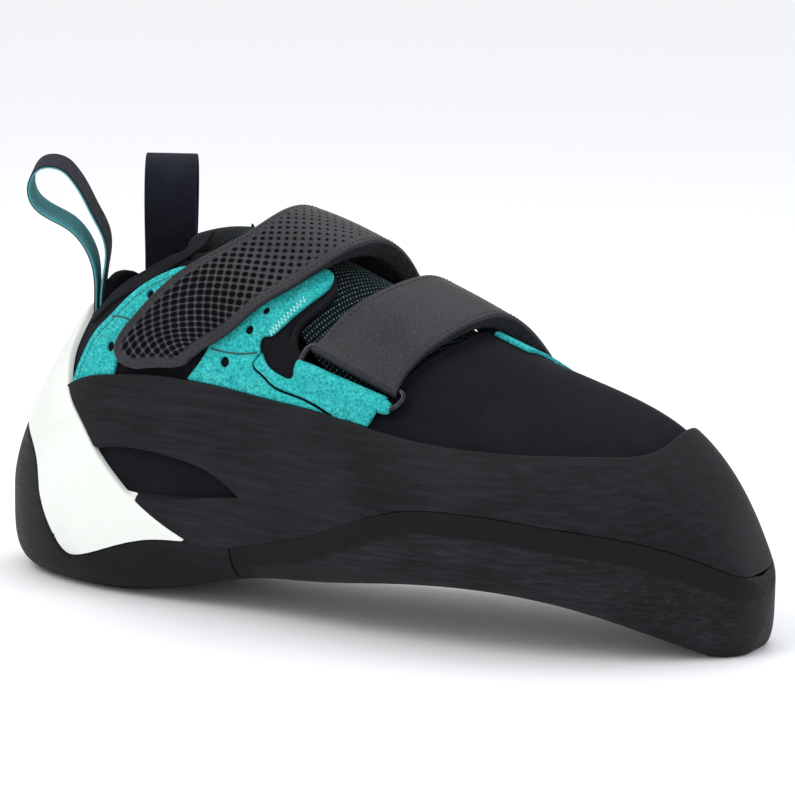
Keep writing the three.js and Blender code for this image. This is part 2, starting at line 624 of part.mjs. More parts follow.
// Webbing loop: a teardrop band in its own plane, as wide as the webbing, cut at the collar
function pullLoop(outline, height, foot, heading) {
  const middle = new THREE.CatmullRomCurve3(
    outline.map(([right, up]) => new THREE.Vector3(right * height, up * height, 0)), false);
  const line = middle.getPoints(LOOP_STEPS).map((p) => [p.x, p.y]);
  const band = [...moved(line, LOOP_WALL / 2), ...moved(line, -LOOP_WALL / 2).reverse()];
  const shape = new THREE.Shape(band.map(([x, y]) => new THREE.Vector2(x, y)));
  const geometry = new THREE.ExtrudeGeometry(shape, { depth: WEBBING, bevelEnabled: false });
  geometry.translate(0, 0, -WEBBING / 2);
  geometry.rotateX(Math.PI / 2);
  geometry.rotateZ(radians(heading));
  geometry.translate(foot[0] * LENGTH, foot[1] * BALL, foot[2] * INSTEP);
  return solidOf(geometry).intersect(aboveCollar(LINING_RIM + CLEARANCE));
}

const eyeHole = lateralHalf(sideLine(EYE)).add(medialHalf(sideLine(EYE)));

const PIECES = {
  upper: [makeUpper(), "#141416", 0.8],
  outsole: [rubber.intersect(soleRegion), "#232327", 0.7],
  heel_cup: [rubber.intersect(cupRegion), "#1b1b1f", 0.7],
  rand: [rubber.intersect(randRegion).subtract(eyeHole), "#26262b", 0.65],
  tension_band: [rubber.intersect(bandRegion).subtract(aboveCollar(-CLEARANCE)), "#dde1db", 0.5],
  quarter_rear_lateral: [suede.intersect(lateralHalf(sideLine(REAR_QUARTER))).subtract(belowRand),
    "#25c6c1", 0.9],
  quarter_front_lateral: [suede.intersect(lateralHalf([...sideLine(FRONT_QUARTER),
    ...moved(sideLine(TAB_SEAM), -half), [TAB_SEAM.at(-1)[0] * LENGTH, INSTEP / 2]]))
    .subtract(belowRand), "#25c6c1", 0.9],
  quarter_medial: [suede.intersect(medialHalf(sideLine(MEDIAL_QUARTER))).subtract(belowRand),
    "#25c6c1", 0.9],
  ring_tab_lateral: [ringTab(lateralHalf([...moved(sideLine(TAB_SEAM), half).reverse().slice(0, 4),
    ...sideLine(LATERAL_TAB)]), LATERAL_RING), "#25c6c1", 0.9],
  ring_tab_medial: [ringTab(medialHalf(sideLine(MEDIAL_TAB)), MEDIAL_RING), "#25c6c1", 0.9],
  strap_anchor: [suede.intersect(medialHalf(sideLine(ANCHOR))).subtract(belowRand), "#25c6c1", 0.9],
  ring_lateral: [ringTube(LATERAL_RING, WIRE), "#1a1a1e", 0.25],
  ring_medial: [ringTube(MEDIAL_RING, WIRE), "#1a1a1e", 0.25],
  tongue: [makeTongue(), "#1c2024", 0.9],
  collar_lining: [makeLining(), "#17181b", 0.95],
  ankle_strap: [strap(ANKLE_STRAP, MEDIAL_RING), "#3b3b41", 0.6],
  forefoot_strap: [strap(FOREFOOT_STRAP, LATERAL_RING), "#46464c", 0.55],
  pull_loop_lateral: [pullLoop(LEANING_LOOP, LATERAL_LOOP, LATERAL_FOOT, LATERAL_HEADING), "#141d2b", 0.8],
  pull_loop_medial: [pullLoop(UPRIGHT_LOOP, MEDIAL_LOOP, MEDIAL_FOOT, MEDIAL_HEADING), "#141d2b", 0.8],
  insole: [makeInsole(), "#2b2b2e", 0.95],
};

const shoe = new THREE.Group();
for (const [name, [solid, colour, roughness]] of Object.entries(PIECES)) {
  const material = new THREE.MeshStandardMaterial({ color: colour, roughness, metalness: 0 });
  const mesh = new THREE.Mesh(geometryOf(solid), material);
  mesh.name = name;
  shoe.add(mesh);
}

// The shoe's middle stands over the origin
const bounds = new THREE.Box3().setFromObject(shoe);
const middle = bounds.getCenter(new THREE.Vector3());
shoe.position.set(-middle.x, -middle.y, 0);
shoe.updateMatrixWorld(true);

export default shoe;
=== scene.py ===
# The looks of a climbing shoe for the right foot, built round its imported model.
# Sizes and points are in millimetres and in the last's own frame, with the back of the
# heel at x = 0, the toe towards +X and the outer side towards -Y, until a mesh is made.
import json
import math
import bmesh
import bpy
import numpy as np
from mathutils import Matrix, Vector
from mathutils.geometry import delaunay_2d_cdt
from mathutils.kdtree import KDTree

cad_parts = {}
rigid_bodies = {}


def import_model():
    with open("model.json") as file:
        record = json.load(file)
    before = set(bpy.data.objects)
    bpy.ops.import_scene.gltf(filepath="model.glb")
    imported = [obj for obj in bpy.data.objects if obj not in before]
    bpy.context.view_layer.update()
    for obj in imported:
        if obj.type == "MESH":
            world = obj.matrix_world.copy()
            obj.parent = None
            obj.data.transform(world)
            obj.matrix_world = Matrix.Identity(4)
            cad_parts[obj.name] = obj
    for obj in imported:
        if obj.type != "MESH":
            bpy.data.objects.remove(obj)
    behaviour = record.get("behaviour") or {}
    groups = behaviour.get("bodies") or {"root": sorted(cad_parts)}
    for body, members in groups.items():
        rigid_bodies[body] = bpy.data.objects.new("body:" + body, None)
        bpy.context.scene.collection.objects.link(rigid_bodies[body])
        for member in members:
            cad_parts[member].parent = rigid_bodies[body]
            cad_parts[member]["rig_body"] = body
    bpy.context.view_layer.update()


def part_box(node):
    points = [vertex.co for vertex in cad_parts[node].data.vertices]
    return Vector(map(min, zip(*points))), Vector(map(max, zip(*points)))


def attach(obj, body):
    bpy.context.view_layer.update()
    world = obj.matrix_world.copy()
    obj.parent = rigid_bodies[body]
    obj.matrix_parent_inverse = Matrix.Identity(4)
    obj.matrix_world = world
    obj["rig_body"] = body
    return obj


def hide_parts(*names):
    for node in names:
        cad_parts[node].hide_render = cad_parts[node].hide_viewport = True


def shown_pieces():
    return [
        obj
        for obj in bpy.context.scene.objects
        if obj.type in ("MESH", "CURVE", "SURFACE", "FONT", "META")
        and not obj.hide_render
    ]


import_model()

# Sizes of the shoe, as in the part's source
LENGTH = 238.0
BALL = 83.0
INSTEP = 110.0
ARCH = 14.2
CANT = 6.0
FOOTING = 4.8
UPPER_WALL = 1.6
RUBBER = 2.3
SOLE = 5.5
CLEARANCE = 0.3
SUEDE = 1.0
TONGUE_WALL = 3.6
LINING_WALL = 2.6
LINING_DEPTH = 22.0
LINING_RIM = 1.0
INSOLE_WALL = 2.8
STRAP_LEATHER = 1.0
WIRE = 1.0
FOLD_WALL = 1.0
WEBBING = 15.6
TAPE_WALL = 0.95
LATERAL_LOOP = 45.0
MEDIAL_LOOP = 39.0
SQUARER_SOLE = 3.0
TOE_CREST = 0.995
SEAM_EDGE = 0.3
SEAM_CLOSE = 0.2    # the bonded seam is closer than the CAD clearance
SHADED_BAND_DEPTH = 6.5    # the smooth band under the seam, above the ground wall, painted dark as shade under the crease
BAR_LIFT = WIRE + FOLD_WALL + CLEARANCE * 2
MM = 0.001
QUARTER = math.pi / 2

# Sections of the last, in the columns at, lateral, medial, crest, top, under, cant,
# lateral belly, medial belly, round top and round under
SECTIONS = np.array([
    [0.000, 0.000, 0.000, 0.000, 0.200, 1.20, 0.00, 0.200, 0.200, 2.00, 2.0],
    [0.020, 0.145, 0.145, 0.000, 0.373, 0.28, 0.00, 0.225, 0.225, 2.00, 2.3],
    [0.060, 0.253, 0.253, 0.000, 0.536, 0.03, 0.00, 0.250, 0.250, 2.10, 2.6],
    [0.120, 0.337, 0.337, 0.000, 0.736, 0.00, 0.00, 0.270, 0.270, 2.20, 3.0],
    [0.200, 0.386, 0.373, 0.000, 0.914, 0.01, 0.00, 0.290, 0.290, 2.40, 3.2],
    [0.300, 0.398, 0.349, 0.000, 1.000, 0.29, 0.00, 0.300, 0.300, 2.40, 3.4],
    [0.400, 0.416, 0.349, 0.012, 0.973, 0.67, 0.08, 0.315, 0.310, 2.20, 3.6],
    [0.500, 0.458, 0.410, 0.036, 0.895, 0.82, 0.17, 0.340, 0.330, 1.90, 4.0],
    [0.600, 0.482, 0.482, 0.072, 0.795, 0.98, 0.33, 0.359, 0.340, 1.75, 5.0],
    [0.700, 0.470, 0.518, 0.108, 0.706, 1.00, 0.58, 0.355, 0.325, 1.70, 6.0],
    [0.800, 0.398, 0.518, 0.120, 0.640, 0.75, 0.83, 0.350, 0.300, 1.65, 6.0],
    [0.900, 0.241, 0.430, 0.180, 0.525, 0.20, 0.90, 0.305, 0.255, 1.70, 6.0],
    [0.960, 0.072, 0.361, 0.190, 0.350, -0.05, 0.25, 0.241, 0.215, 1.80, 5.0],
    [0.985, -0.012, 0.295, 0.150, 0.230, -0.06, 0.08, 0.205, 0.190, 1.90, 4.0],
    [1.000, -0.145, 0.145, 0.145, 0.140, 0.70, 0.00, 0.140, 0.140, 2.00, 2.5],
])
SECTION_SIZES = [LENGTH, -BALL, BALL, BALL, INSTEP, ARCH, CANT, INSTEP, INSTEP, 1.0, 1.0]

# Lines in the side view, along as a share of LENGTH and up as a share of INSTEP
WALL_TOP = [
    [0.330, 0.178], [0.370, 0.178], [0.426, 0.204], [0.486, 0.239], [0.544, 0.285],
    [0.600, 0.335], [0.645, 0.362], [0.700, 0.369], [0.761, 0.362], [0.825, 0.344],
    [0.891, 0.320], [0.959, 0.258], [1.000, 0.207], [1.060, 0.180],
]
RAND_TOP = [
    [0.100, 0.480], [0.118, 0.530], [0.136, 0.560], [0.160, 0.583], [0.206, 0.603],
    [0.252, 0.615], [0.325, 0.615], [0.383, 0.605], [0.427, 0.595], [0.484, 0.584],
    [0.526, 0.573], [0.581, 0.553], [0.634, 0.535], [0.683, 0.525], [0.739, 0.519],
    [0.800, 0.518], [0.850, 0.516], [0.880, 0.516], [0.892, 0.524], [0.899, 0.560],
    [0.902, 0.620], [0.904, 0.900],
]
BAND_FRONT = [
    [0.131, 0.760], [0.126, 0.700], [0.122, 0.650], [0.128, 0.580], [0.138, 0.530],
    [0.163, 0.468], [0.190, 0.395], [0.222, 0.324], [0.260, 0.257], [0.295, 0.213],
    [0.332, 0.178],
]
BAND_REAR = [
    [-0.050, 0.430], [0.053, 0.395], [0.071, 0.365], [0.084, 0.317], [0.089, 0.250],
    [0.100, 0.185], [0.122, 0.120], [0.141, 0.088], [0.165, 0.092], [0.207, 0.125],
    [0.271, 0.168], [0.332, 0.178],
]
CUP_TOP = BAND_REAR[:-1] + [[0.310, 0.178], [0.345, 0.178], [0.400, 0.190]]
CUP_END = 0.391
EYE_TOP = [[0.192, 0.402], [0.230, 0.414], [0.266, 0.414], [0.301, 0.406], [0.339, 0.392],
           [0.370, 0.368], [0.403, 0.325]]
EYE_UNDER = [[0.403, 0.325], [0.357, 0.311], [0.316, 0.295], [0.281, 0.285], [0.252, 0.281]]
COLLAR = [
    [-0.060, 0.750], [0.105, 0.755], [0.140, 0.745], [0.172, 0.795], [0.200, 0.836],
    [0.232, 0.872], [0.260, 0.912], [0.290, 0.960], [0.325, 1.040],
]

# Straps: rear at, rear turn, front at, front turn in degrees, and lift of the outer face
ANKLE_STRAP = np.array([
    [0.2480, 24.3, 0.2960, 24.5, 3.7],
    [0.2330, 25.5, 0.3130, 25.3, 3.7],
    [0.2220, 27.3, 0.3230, 27.0, 3.7],
    [0.2135, 30.2, 0.3300, 28.3, 3.7],
    [0.2160, 34.6, 0.3370, 29.8, 3.7],
    [0.2310, 38.5, 0.3450, 31.2, 3.7],
    [0.2540, 44.0, 0.3620, 34.2, 3.8],
    [0.2970, 54.0, 0.3860, 40.5, 4.0],
    [0.3270, 61.0, 0.4120, 49.0, 4.2],
    [0.3500, 68.0, 0.4360, 56.5, 4.8],
    [0.3660, 78.0, 0.4580, 67.5, 5.8],
    [0.3750, 90.0, 0.4750, 81.0, 7.5],
    [0.3840, 103.0, 0.4890, 97.0, 8.6],
    [0.3940, 116.0, 0.5030, 112.0, 8.2],
    [0.4060, 128.0, 0.5180, 125.0, 6.2],
    [0.4160, 136.5, 0.5300, 135.5, 5.0],
    [0.4190, 140.4, 0.5380, 139.6, 4.9],
])
FOREFOOT_STRAP = np.array([
    [0.4880, 43.3, 0.6010, 40.7, 4.9],
    [0.4930, 46.0, 0.6010, 42.5, 4.8],
    [0.5020, 53.0, 0.6030, 47.5, 4.7],
    [0.5120, 60.0, 0.6100, 54.5, 5.0],
    [0.5270, 69.0, 0.6210, 63.5, 5.5],
    [0.5420, 80.0, 0.6330, 75.0, 6.2],
    [0.5540, 92.0, 0.6440, 89.0, 6.8],
    [0.5660, 105.0, 0.6570, 103.0, 6.8],
    [0.5790, 117.0, 0.6710, 116.0, 6.0],
    [0.5930, 129.0, 0.6850, 129.0, 4.8],
    [0.6030, 138.0, 0.6960, 139.0, 4.0],
])

# Corners of the rings: along as a share of LENGTH, and turn in degrees
LATERAL_RING = np.array([[0.470, 35.6], [0.602, 34.2], [0.611, 40.4], [0.479, 43.6]])
MEDIAL_RING = np.array([[0.413, 147.4], [0.546, 146.0], [0.544, 139.4], [0.414, 140.6]])


# Curves

def natural_spline(knots, values):
    """A cubic spline through the values, straight at both ends."""
    knots = np.asarray(knots, float)
    values = np.asarray(values, float)
    count = len(knots)
    step = np.diff(knots)
    slope = np.diff(values) / step
    matrix = np.eye(count)
    right = np.zeros(count)
    for i in range(1, count - 1):
        matrix[i, i - 1:i + 2] = [step[i - 1], 2 * (step[i - 1] + step[i]), step[i]]
        right[i] = 6 * (slope[i] - slope[i - 1])
    bend = np.linalg.solve(matrix, right)

    def curve(knot):
        i = np.clip(np.searchsorted(knots, knot, side="left") - 1, 0, count - 2)
        a = (knots[i + 1] - knot) / step[i]
        b = 1 - a
        pull = ((a ** 3 - a) * bend[i] + (b ** 3 - b) * bend[i + 1]) * step[i] ** 2 / 6
        return a * values[i] + b * values[i + 1] + pull

    return curve


def lengths_along(points):
    steps = np.linalg.norm(np.diff(points, axis=0), axis=1)
    return np.concatenate([[0.0], np.cumsum(steps)])


def smooth(points, step):
    """Points every step along a smooth line through the given ones."""
    points = np.asarray(points, float)
    along = lengths_along(points)
    places = np.linspace(0, along[-1], max(3, int(along[-1] / step) + 1))
    return np.stack([natural_spline(along, points[:, i])(places) for i in range(points.shape[1])], 1)


def resample(line, points, step):
    """The rows of line moved to even spacing along points."""
    along = lengths_along(points)
    places = np.linspace(0, along[-1], max(3, int(round(along[-1] / step)) + 1))
    return np.stack([np.interp(places, along, line[:, i]) for i in range(line.shape[1])], 1)


def ease(value):
    value = np.clip(value, 0, 1)
    return value * value * (3 - 2 * value)


# The last

def station_of(at):
    return np.arccos(np.clip(1 - 2 * np.asarray(at, float), -1, 1)) / math.pi


SECTION_CURVES = [
    natural_spline(station_of(SECTIONS[:, 0]), SECTIONS[:, i] * SECTION_SIZES[i]) for i in range(11)
]


def face_point(station, turn, squarer=0.0):
    """A point of the upper's outer face: station 0 at the heel to 1 at the toe, turn in radians
    from the outer belly over the crest."""
    station, turn = np.broadcast_arrays(np.asarray(station, float), np.asarray(turn, float))
    (_, lateral, medial, crest, top, under, cant,
     lateral_belly, medial_belly, round_top, round_under) = [c(station) for c in SECTION_CURVES]
    cos = np.cos(turn)
    sin = np.sin(turn)
    is_top = sin >= 0
    power = np.where(is_top, round_top, round_under + squarer)
    across = np.abs(cos) ** (2 / power)
    rise = np.abs(sin) ** (2 / power)
    is_lateral = cos >= 0
    side = np.where(is_lateral, lateral, medial)
    belly = np.where(is_lateral, lateral_belly, medial_belly)
    middle = np.where(is_top, crest, (lateral + medial) / 2)
    tilt = cant * (1 + np.sign(cos) * across) / 2
    end = np.where(is_top, top, FOOTING + under + tilt)
    x = LENGTH * (1 - np.cos(math.pi * station)) / 2
    return np.stack([x, middle + (side - middle) * across, belly + (end - belly) * rise], -1)


def face_normal(station, turn, squarer=0.0):
    station, turn = np.broadcast_arrays(np.asarray(station, float), np.asarray(turn, float))
    s = np.clip(station, 0.004, 0.996)
    along = face_point(s + 0.002, turn, squarer) - face_point(s - 0.002, turn, squarer)
    around = face_point(s, turn + 0.02, squarer) - face_point(s, turn - 0.02, squarer)
    normal = np.cross(along, around)
    normal /= np.maximum(np.linalg.norm(normal, axis=-1, keepdims=True), 1e-9)
    normal = np.where((station <= 0)[..., None], [-1.0, 0.0, 0.0], normal)
    return np.where((station >= 1)[..., None], [1.0, 0.0, 0.0], normal)


def on_upper(station, turn, lift=0.0, squarer=0.0):
    lift = np.asarray(lift, float)
    return face_point(station, turn, squarer) + face_normal(station, turn, squarer) * lift[..., None]


def rubber_face(station, turn):
    """The outside of all the rubber, with the sole under it."""
    point = on_upper(station, turn, RUBBER, SQUARER_SOLE)
    point[..., 2] -= (SOLE - RUBBER) * np.maximum(0, -np.sin(turn))
    point[..., 2] = np.maximum(point[..., 2], 0)
    return point


def layer(lift):
    """The function that gives the points of a face at a distance from the upper's outer face."""
    def face(station, turn):
        return on_upper(station, turn, lift)

    return face


rubber_bed = layer(CLEARANCE)
suede_face = layer(CLEARANCE + SUEDE)
inner_face = layer(-UPPER_WALL - CLEARANCE)


# The shift from the last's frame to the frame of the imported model
lattice_station, lattice_turn = np.meshgrid(
    np.arange(1, 30) / 30, 2 * math.pi * np.arange(20) / 20, indexing="ij")
lattice = rubber_face(lattice_station, lattice_turn)
SHIFT = np.array([
    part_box("outsole")[1].x / MM - (LENGTH + RUBBER),
    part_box("outsole")[1].y / MM - lattice[..., 1].max(),
    0.0,
])


class Chart:
    """A flat map of the last. Its first number is the length along the crest, and its second
    the length round from a middle line, both in millimetres."""

    def __init__(self, squarer, middle):
        self.middle = middle
        self.stations = np.linspace(0.002, 0.998, 250)
        share = np.linspace(0, 1, 97)
        eased = share ** 3 / (share ** 3 + (1 - share) ** 3)
        columns = []
        sizes = []
        for quarter in range(4):
            turn = (quarter + eased) * QUARTER
            points = face_point(self.stations[:, None], turn[None, :], squarer)
            steps = np.linalg.norm(np.diff(points, axis=1), axis=2)
            along = np.concatenate([np.zeros((len(points), 1)), np.cumsum(steps, axis=1)], axis=1)
            sizes.append(along[:, -1])
            even = np.linspace(0, 1, 49)[:-1]
            columns.append(np.stack([np.interp(even * row[-1], row, turn) for row in along]))
        end = np.full((len(self.stations), 1), 2 * math.pi)
        self.turns = np.concatenate([*columns, end], axis=1)
        self.places = np.linspace(0, 4, self.turns.shape[1])
        self.width = (sizes[0] + sizes[1]) / 2
        crest = face_point(self.stations, QUARTER)
        self.along = lengths_along(crest)

    def turn(self, station, place):
        i = np.clip((station - self.stations[0]) / (self.stations[1] - self.stations[0]),
                    0, len(self.stations) - 1.001)
        j = (place % 4) * (self.turns.shape[1] - 1) / 4
        j = np.clip(j, 0, self.turns.shape[1] - 1.001)
        a = i.astype(int)
        b = j.astype(int)
        u = i - a
        v = j - b
        low = self.turns[a, b] * (1 - v) + self.turns[a, b + 1] * v
        high = self.turns[a + 1, b] * (1 - v) + self.turns[a + 1, b + 1] * v
        return low * (1 - u) + high * u

    def place(self, station, turn):
        i = np.clip((station - self.stations[0]) / (self.stations[1] - self.stations[0]),
                    0, len(self.stations) - 1.001)
        a = i.astype(int)
        u = (i - a)[:, None]
        rows = self.turns[a] * (1 - u) + self.turns[a + 1] * u
        around = np.mod(turn, 2 * math.pi)
        place = np.array([np.interp(t, row, self.places) for t, row in zip(around, rows)])
        place = np.where(place > self.middle + 2, place - 4, place)
        return np.where(place < self.middle - 2, place + 4, place)

    def flat(self, station, turn):
        place = self.place(station, turn)
        width = np.interp(station, self.stations, self.width)
        along = np.interp(station, self.stations, self.along)
        return np.stack([along, (place - self.middle) * width], 1)

    def spot(self, flat):
        station = np.interp(flat[:, 0], self.along, self.stations)
        width = np.interp(station, self.stations, self.width)
        return station, self.turn(station, self.middle + flat[:, 1] / width)


UPPER_CHART = Chart(0.0, 1.0)
RUBBER_CHART = Chart(SQUARER_SOLE, 1.0)


def side_line(line):
    return np.asarray(line, float) * [LENGTH, INSTEP]


def moved(line, distance):
    """The line moved to the left of its direction."""
    ahead = np.concatenate([line[1:], line[-1:]])
    behind = np.concatenate([line[:1], line[:-1]])
    way = ahead - behind
    way /= np.linalg.norm(way, axis=1, keepdims=True)
    return line + np.stack([-way[:, 1], way[:, 0]], 1) * distance


def turn_at(station, height, is_medial, squarer):
    """The turn where the upper's face has a height, on one side."""
    belly = SECTION_CURVES[8 if is_medial else 7](station)
    top = SECTION_CURVES[4](station)
    under = FOOTING + SECTION_CURVES[5](station)
    up = np.clip((height - belly) / (top - belly), 0, 1) ** (SECTION_CURVES[9](station) / 2)
    down = np.clip((belly - height) / (belly - under), 0, 1)
    down = down ** ((SECTION_CURVES[10](station) + squarer) / 2)
    turn = np.where(height >= belly, np.arcsin(up), -np.arcsin(down))
    return math.pi - turn if is_medial else turn


def locate(line, face, is_medial=False, squarer=0.0):
    """Stations and turns of the points of a face that show at side-view points."""
    wanted = np.asarray(line, float)
    aim = wanted.copy()
    for _ in range(14):
        station = station_of(np.clip(aim[:, 0] / LENGTH, 0.0005, 0.9995))
        turn = turn_at(station, aim[:, 1], is_medial, squarer)
        spot = face(station, turn)
        aim += (wanted - spot[:, [0, 2]]) * 0.7
    return np.stack([station, turn], 1)


def crossing(stations, line, face, is_medial=False, rise=0.0):
    """Turn at each station where a face meets a side-view line, or the crest where it doesn't."""
    line = smooth(side_line(line), 1.0)
    low = np.full(len(stations), -QUARTER + 0.02)
    high = np.full(len(stations), QUARTER)
    for _ in range(36):
        middle = (low + high) / 2
        spot = face(stations, math.pi - middle if is_medial else middle)
        is_above = spot[:, 2] > np.interp(spot[:, 0], line[:, 0], line[:, 1]) + rise
        high = np.where(is_above, middle, high)
        low = np.where(is_above, low, middle)
    return math.pi - high if is_medial else high


def over_crest(first, last, line, face, step, rise=0.0):
    """A line that runs from the outer side over the crest to the inner side. It starts at
    station first on the outer side, turns at the crest near station last, and comes back."""
    share = 1 - (1 - np.linspace(0, 1, 900)) ** 2.2
    stations = first + (last - first) * share
    sides = []
    for is_medial in (False, True):
        turn = crossing(stations, line, face, is_medial, rise)
        is_open = np.abs(turn - QUARTER) > 1e-4
        until = int(np.argmin(is_open)) if not is_open.all() else len(stations)
        keep = slice(0, until + 1)
        sides.append(np.stack([stations[keep], turn[keep]], 1))
    joined = np.concatenate([sides[0], sides[1][::-1]])
    return resample(joined, face(joined[:, 0], joined[:, 1]), step)


# Meshes

def finish_mesh(name, points, faces, material, uv=None, inner=None, rim=None, is_smooth=True):
    """A piece from points in the last's frame. inner is a second material and the indices of
    the faces that have it."""
    mesh = bpy.data.meshes.new(name)
    points = (np.asarray(points, float) + SHIFT) * MM
    mesh.from_pydata(points.tolist(), [], [tuple(int(i) for i in f) for f in faces])
    if material is not None:
        mesh.materials.append(material)
    if inner is not None:
        mesh.materials.append(inner[0])
        for i in inner[1]:
            mesh.polygons[i].material_index = 1
    if uv is not None:
        layer = mesh.uv_layers.new(name="UVMap")
        corners = np.zeros(len(mesh.loops), int)
        mesh.loops.foreach_get("vertex_index", corners)
        layer.data.foreach_set("uv", (np.asarray(uv)[corners] * MM).ravel())
    if rim is not None:
        mark = mesh.attributes.new("rim", "FLOAT", "POINT")
        mark.data.foreach_set("value", np.asarray(rim, np.float32))
    work = bmesh.new()
    work.from_mesh(mesh)
    bmesh.ops.remove_doubles(work, verts=work.verts, dist=2e-6)
    bmesh.ops.recalc_face_normals(work, faces=work.faces)
    work.to_mesh(mesh)
    work.free()
    mesh.polygons.foreach_set("use_smooth", [is_smooth] * len(mesh.polygons))
    mesh.set_sharp_from_angle(angle=math.radians(50))
    piece = bpy.data.objects.new(name, mesh)
    bpy.context.scene.collection.objects.link(piece)
    return piece


def stands_for(node):
    """Hides the imported node that a piece takes the place of."""
    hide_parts(node)


def inside(points, loops):
    """Which points lie inside an outline and outside its holes."""
    count = np.zeros(len(points), int)
    for loop in loops:
        a = loop
        b = np.roll(loop, -1, axis=0)
        drop = b[:, 1] - a[:, 1]
        slope = (b[:, 0] - a[:, 0]) / np.where(np.abs(drop) < 1e-12, 1e-12, drop)
        for start in range(0, len(points), 2000):
            part = points[start:start + 2000]
            x = part[:, 0:1]
            y = part[:, 1:2]
            spans = (a[:, 1] > y) != (b[:, 1] > y)
            count[start:start + 2000] += (spans & (x < a[:, 0] + (y - a[:, 1]) * slope)).sum(1)
    return count % 2 == 1


def area_of(loop):
    ahead = np.roll(loop, -1, axis=0)
    return float((loop[:, 0] * ahead[:, 1] - ahead[:, 0] * loop[:, 1]).sum() / 2)


def distances(points, places):
    tree = KDTree(len(places))
    for i, place in enumerate(places):
        tree.insert(Vector((*place, 0.0)) if len(place) == 2 else Vector(place), i)
    tree.balance()
    return np.array([tree.find(Vector((*p, 0.0)) if len(p) == 2 else Vector(p))[2] for p in points])


def edge_height(distance, radius, thickness):
    """Share of the thickness at a distance from a rounded edge."""
    across = np.clip(1 - np.asarray(distance, float) / radius, 0, 1)
    return 1 - radius / thickness + radius / thickness * np.sqrt(1 - across ** 2)


def panel(name, loops, chart, low, high, material, thickness, radius=0.5, spacing=1.4):
    """A sheet on the last with a rounded edge. The first loop is its outline and the others
    are holes, all as stations and turns. low and high are its two faces."""
    flats = []
    for n, loop in enumerate(loops):
        flat = chart.flat(loop[:, 0], loop[:, 1])
        keep = np.linalg.norm(flat - np.roll(flat, 1, axis=0), axis=1) > 0.08
        flat = flat[keep]
        if (area_of(flat) > 0) != (n == 0):
            flat = flat[::-1]
        flats.append(flat)
    border = np.concatenate(flats)
    points = [border]
    shares = [np.full(len(border), 1 - radius / thickness)]
    for bend in (32.0, 62.0, 90.0):
        distance = radius * (1 - math.cos(math.radians(bend)))
        for flat in flats:
            way = np.roll(flat, -1, axis=0) - np.roll(flat, 1, axis=0)
            way /= np.maximum(np.linalg.norm(way, axis=1, keepdims=True), 1e-9)
            ring = flat + np.stack([-way[:, 1], way[:, 0]], 1) * distance
            far = distances(ring, border) > distance * 0.85
            ring = ring[far & inside(ring, flats)]
            points.append(ring)
            shares.append(np.full(len(ring), float(edge_height(distance, radius, thickness))))
    low_corner = border.min(0)
    high_corner = border.max(0)
    rows = []
    for n, b in enumerate(np.arange(low_corner[1], high_corner[1], spacing * 0.866)):
        a = np.arange(low_corner[0] + (n % 2) * spacing / 2, high_corner[0], spacing)
        rows.append(np.stack([a, np.full(len(a), b)], 1))
    grid = np.concatenate(rows)
    grid = grid[inside(grid, flats)]
    grid = grid[distances(grid, border) > radius + spacing * 0.4]
    points.append(grid)
    shares.append(np.ones(len(grid)))
    points = np.concatenate(points)
    shares = np.concatenate(shares)
    edges = []
    start = 0
    for flat in flats:
        count = len(flat)
        edges += [(start + i, start + (i + 1) % count) for i in range(count)]
        start += count
    found = delaunay_2d_cdt([Vector(p) for p in points], edges, [], 0, 1e-6, True)
    spots = np.array([tuple(v) for v in found[0]])
    source = np.array([o[0] if o else -1 for o in found[3]])
    share = np.where(source >= 0, shares[source], 1 - radius / thickness)
    triangles = np.array([f for f in found[2] if len(f) == 3])
    centres = spots[triangles].mean(1)
    triangles = triangles[inside(centres, flats)]
    used = np.unique(triangles)
    renumber = np.full(len(spots), -1)
    renumber[used] = np.arange(len(used))
    triangles = renumber[triangles]
    spots = spots[used]
    share = share[used]
    station, turn = chart.spot(spots)
    bottom = low(station, turn)
    top = bottom + (high(station, turn) - bottom) * share[:, None]
    count = len(spots)
    sides = np.concatenate([triangles[:, [0, 1]], triangles[:, [1, 2]], triangles[:, [2, 0]]])
    known = set(map(tuple, sides.tolist()))
    rim = [(a, b) for a, b in known if (b, a) not in known]
    faces = triangles.tolist()
    faces += [(c + count, b + count, a + count) for a, b, c in triangles.tolist()]
    faces += [(b, a, a + count, b + count) for a, b in rim]
    uv = np.concatenate([spots, spots])
    return finish_mesh(name, np.concatenate([top, bottom]), faces, material, uv)


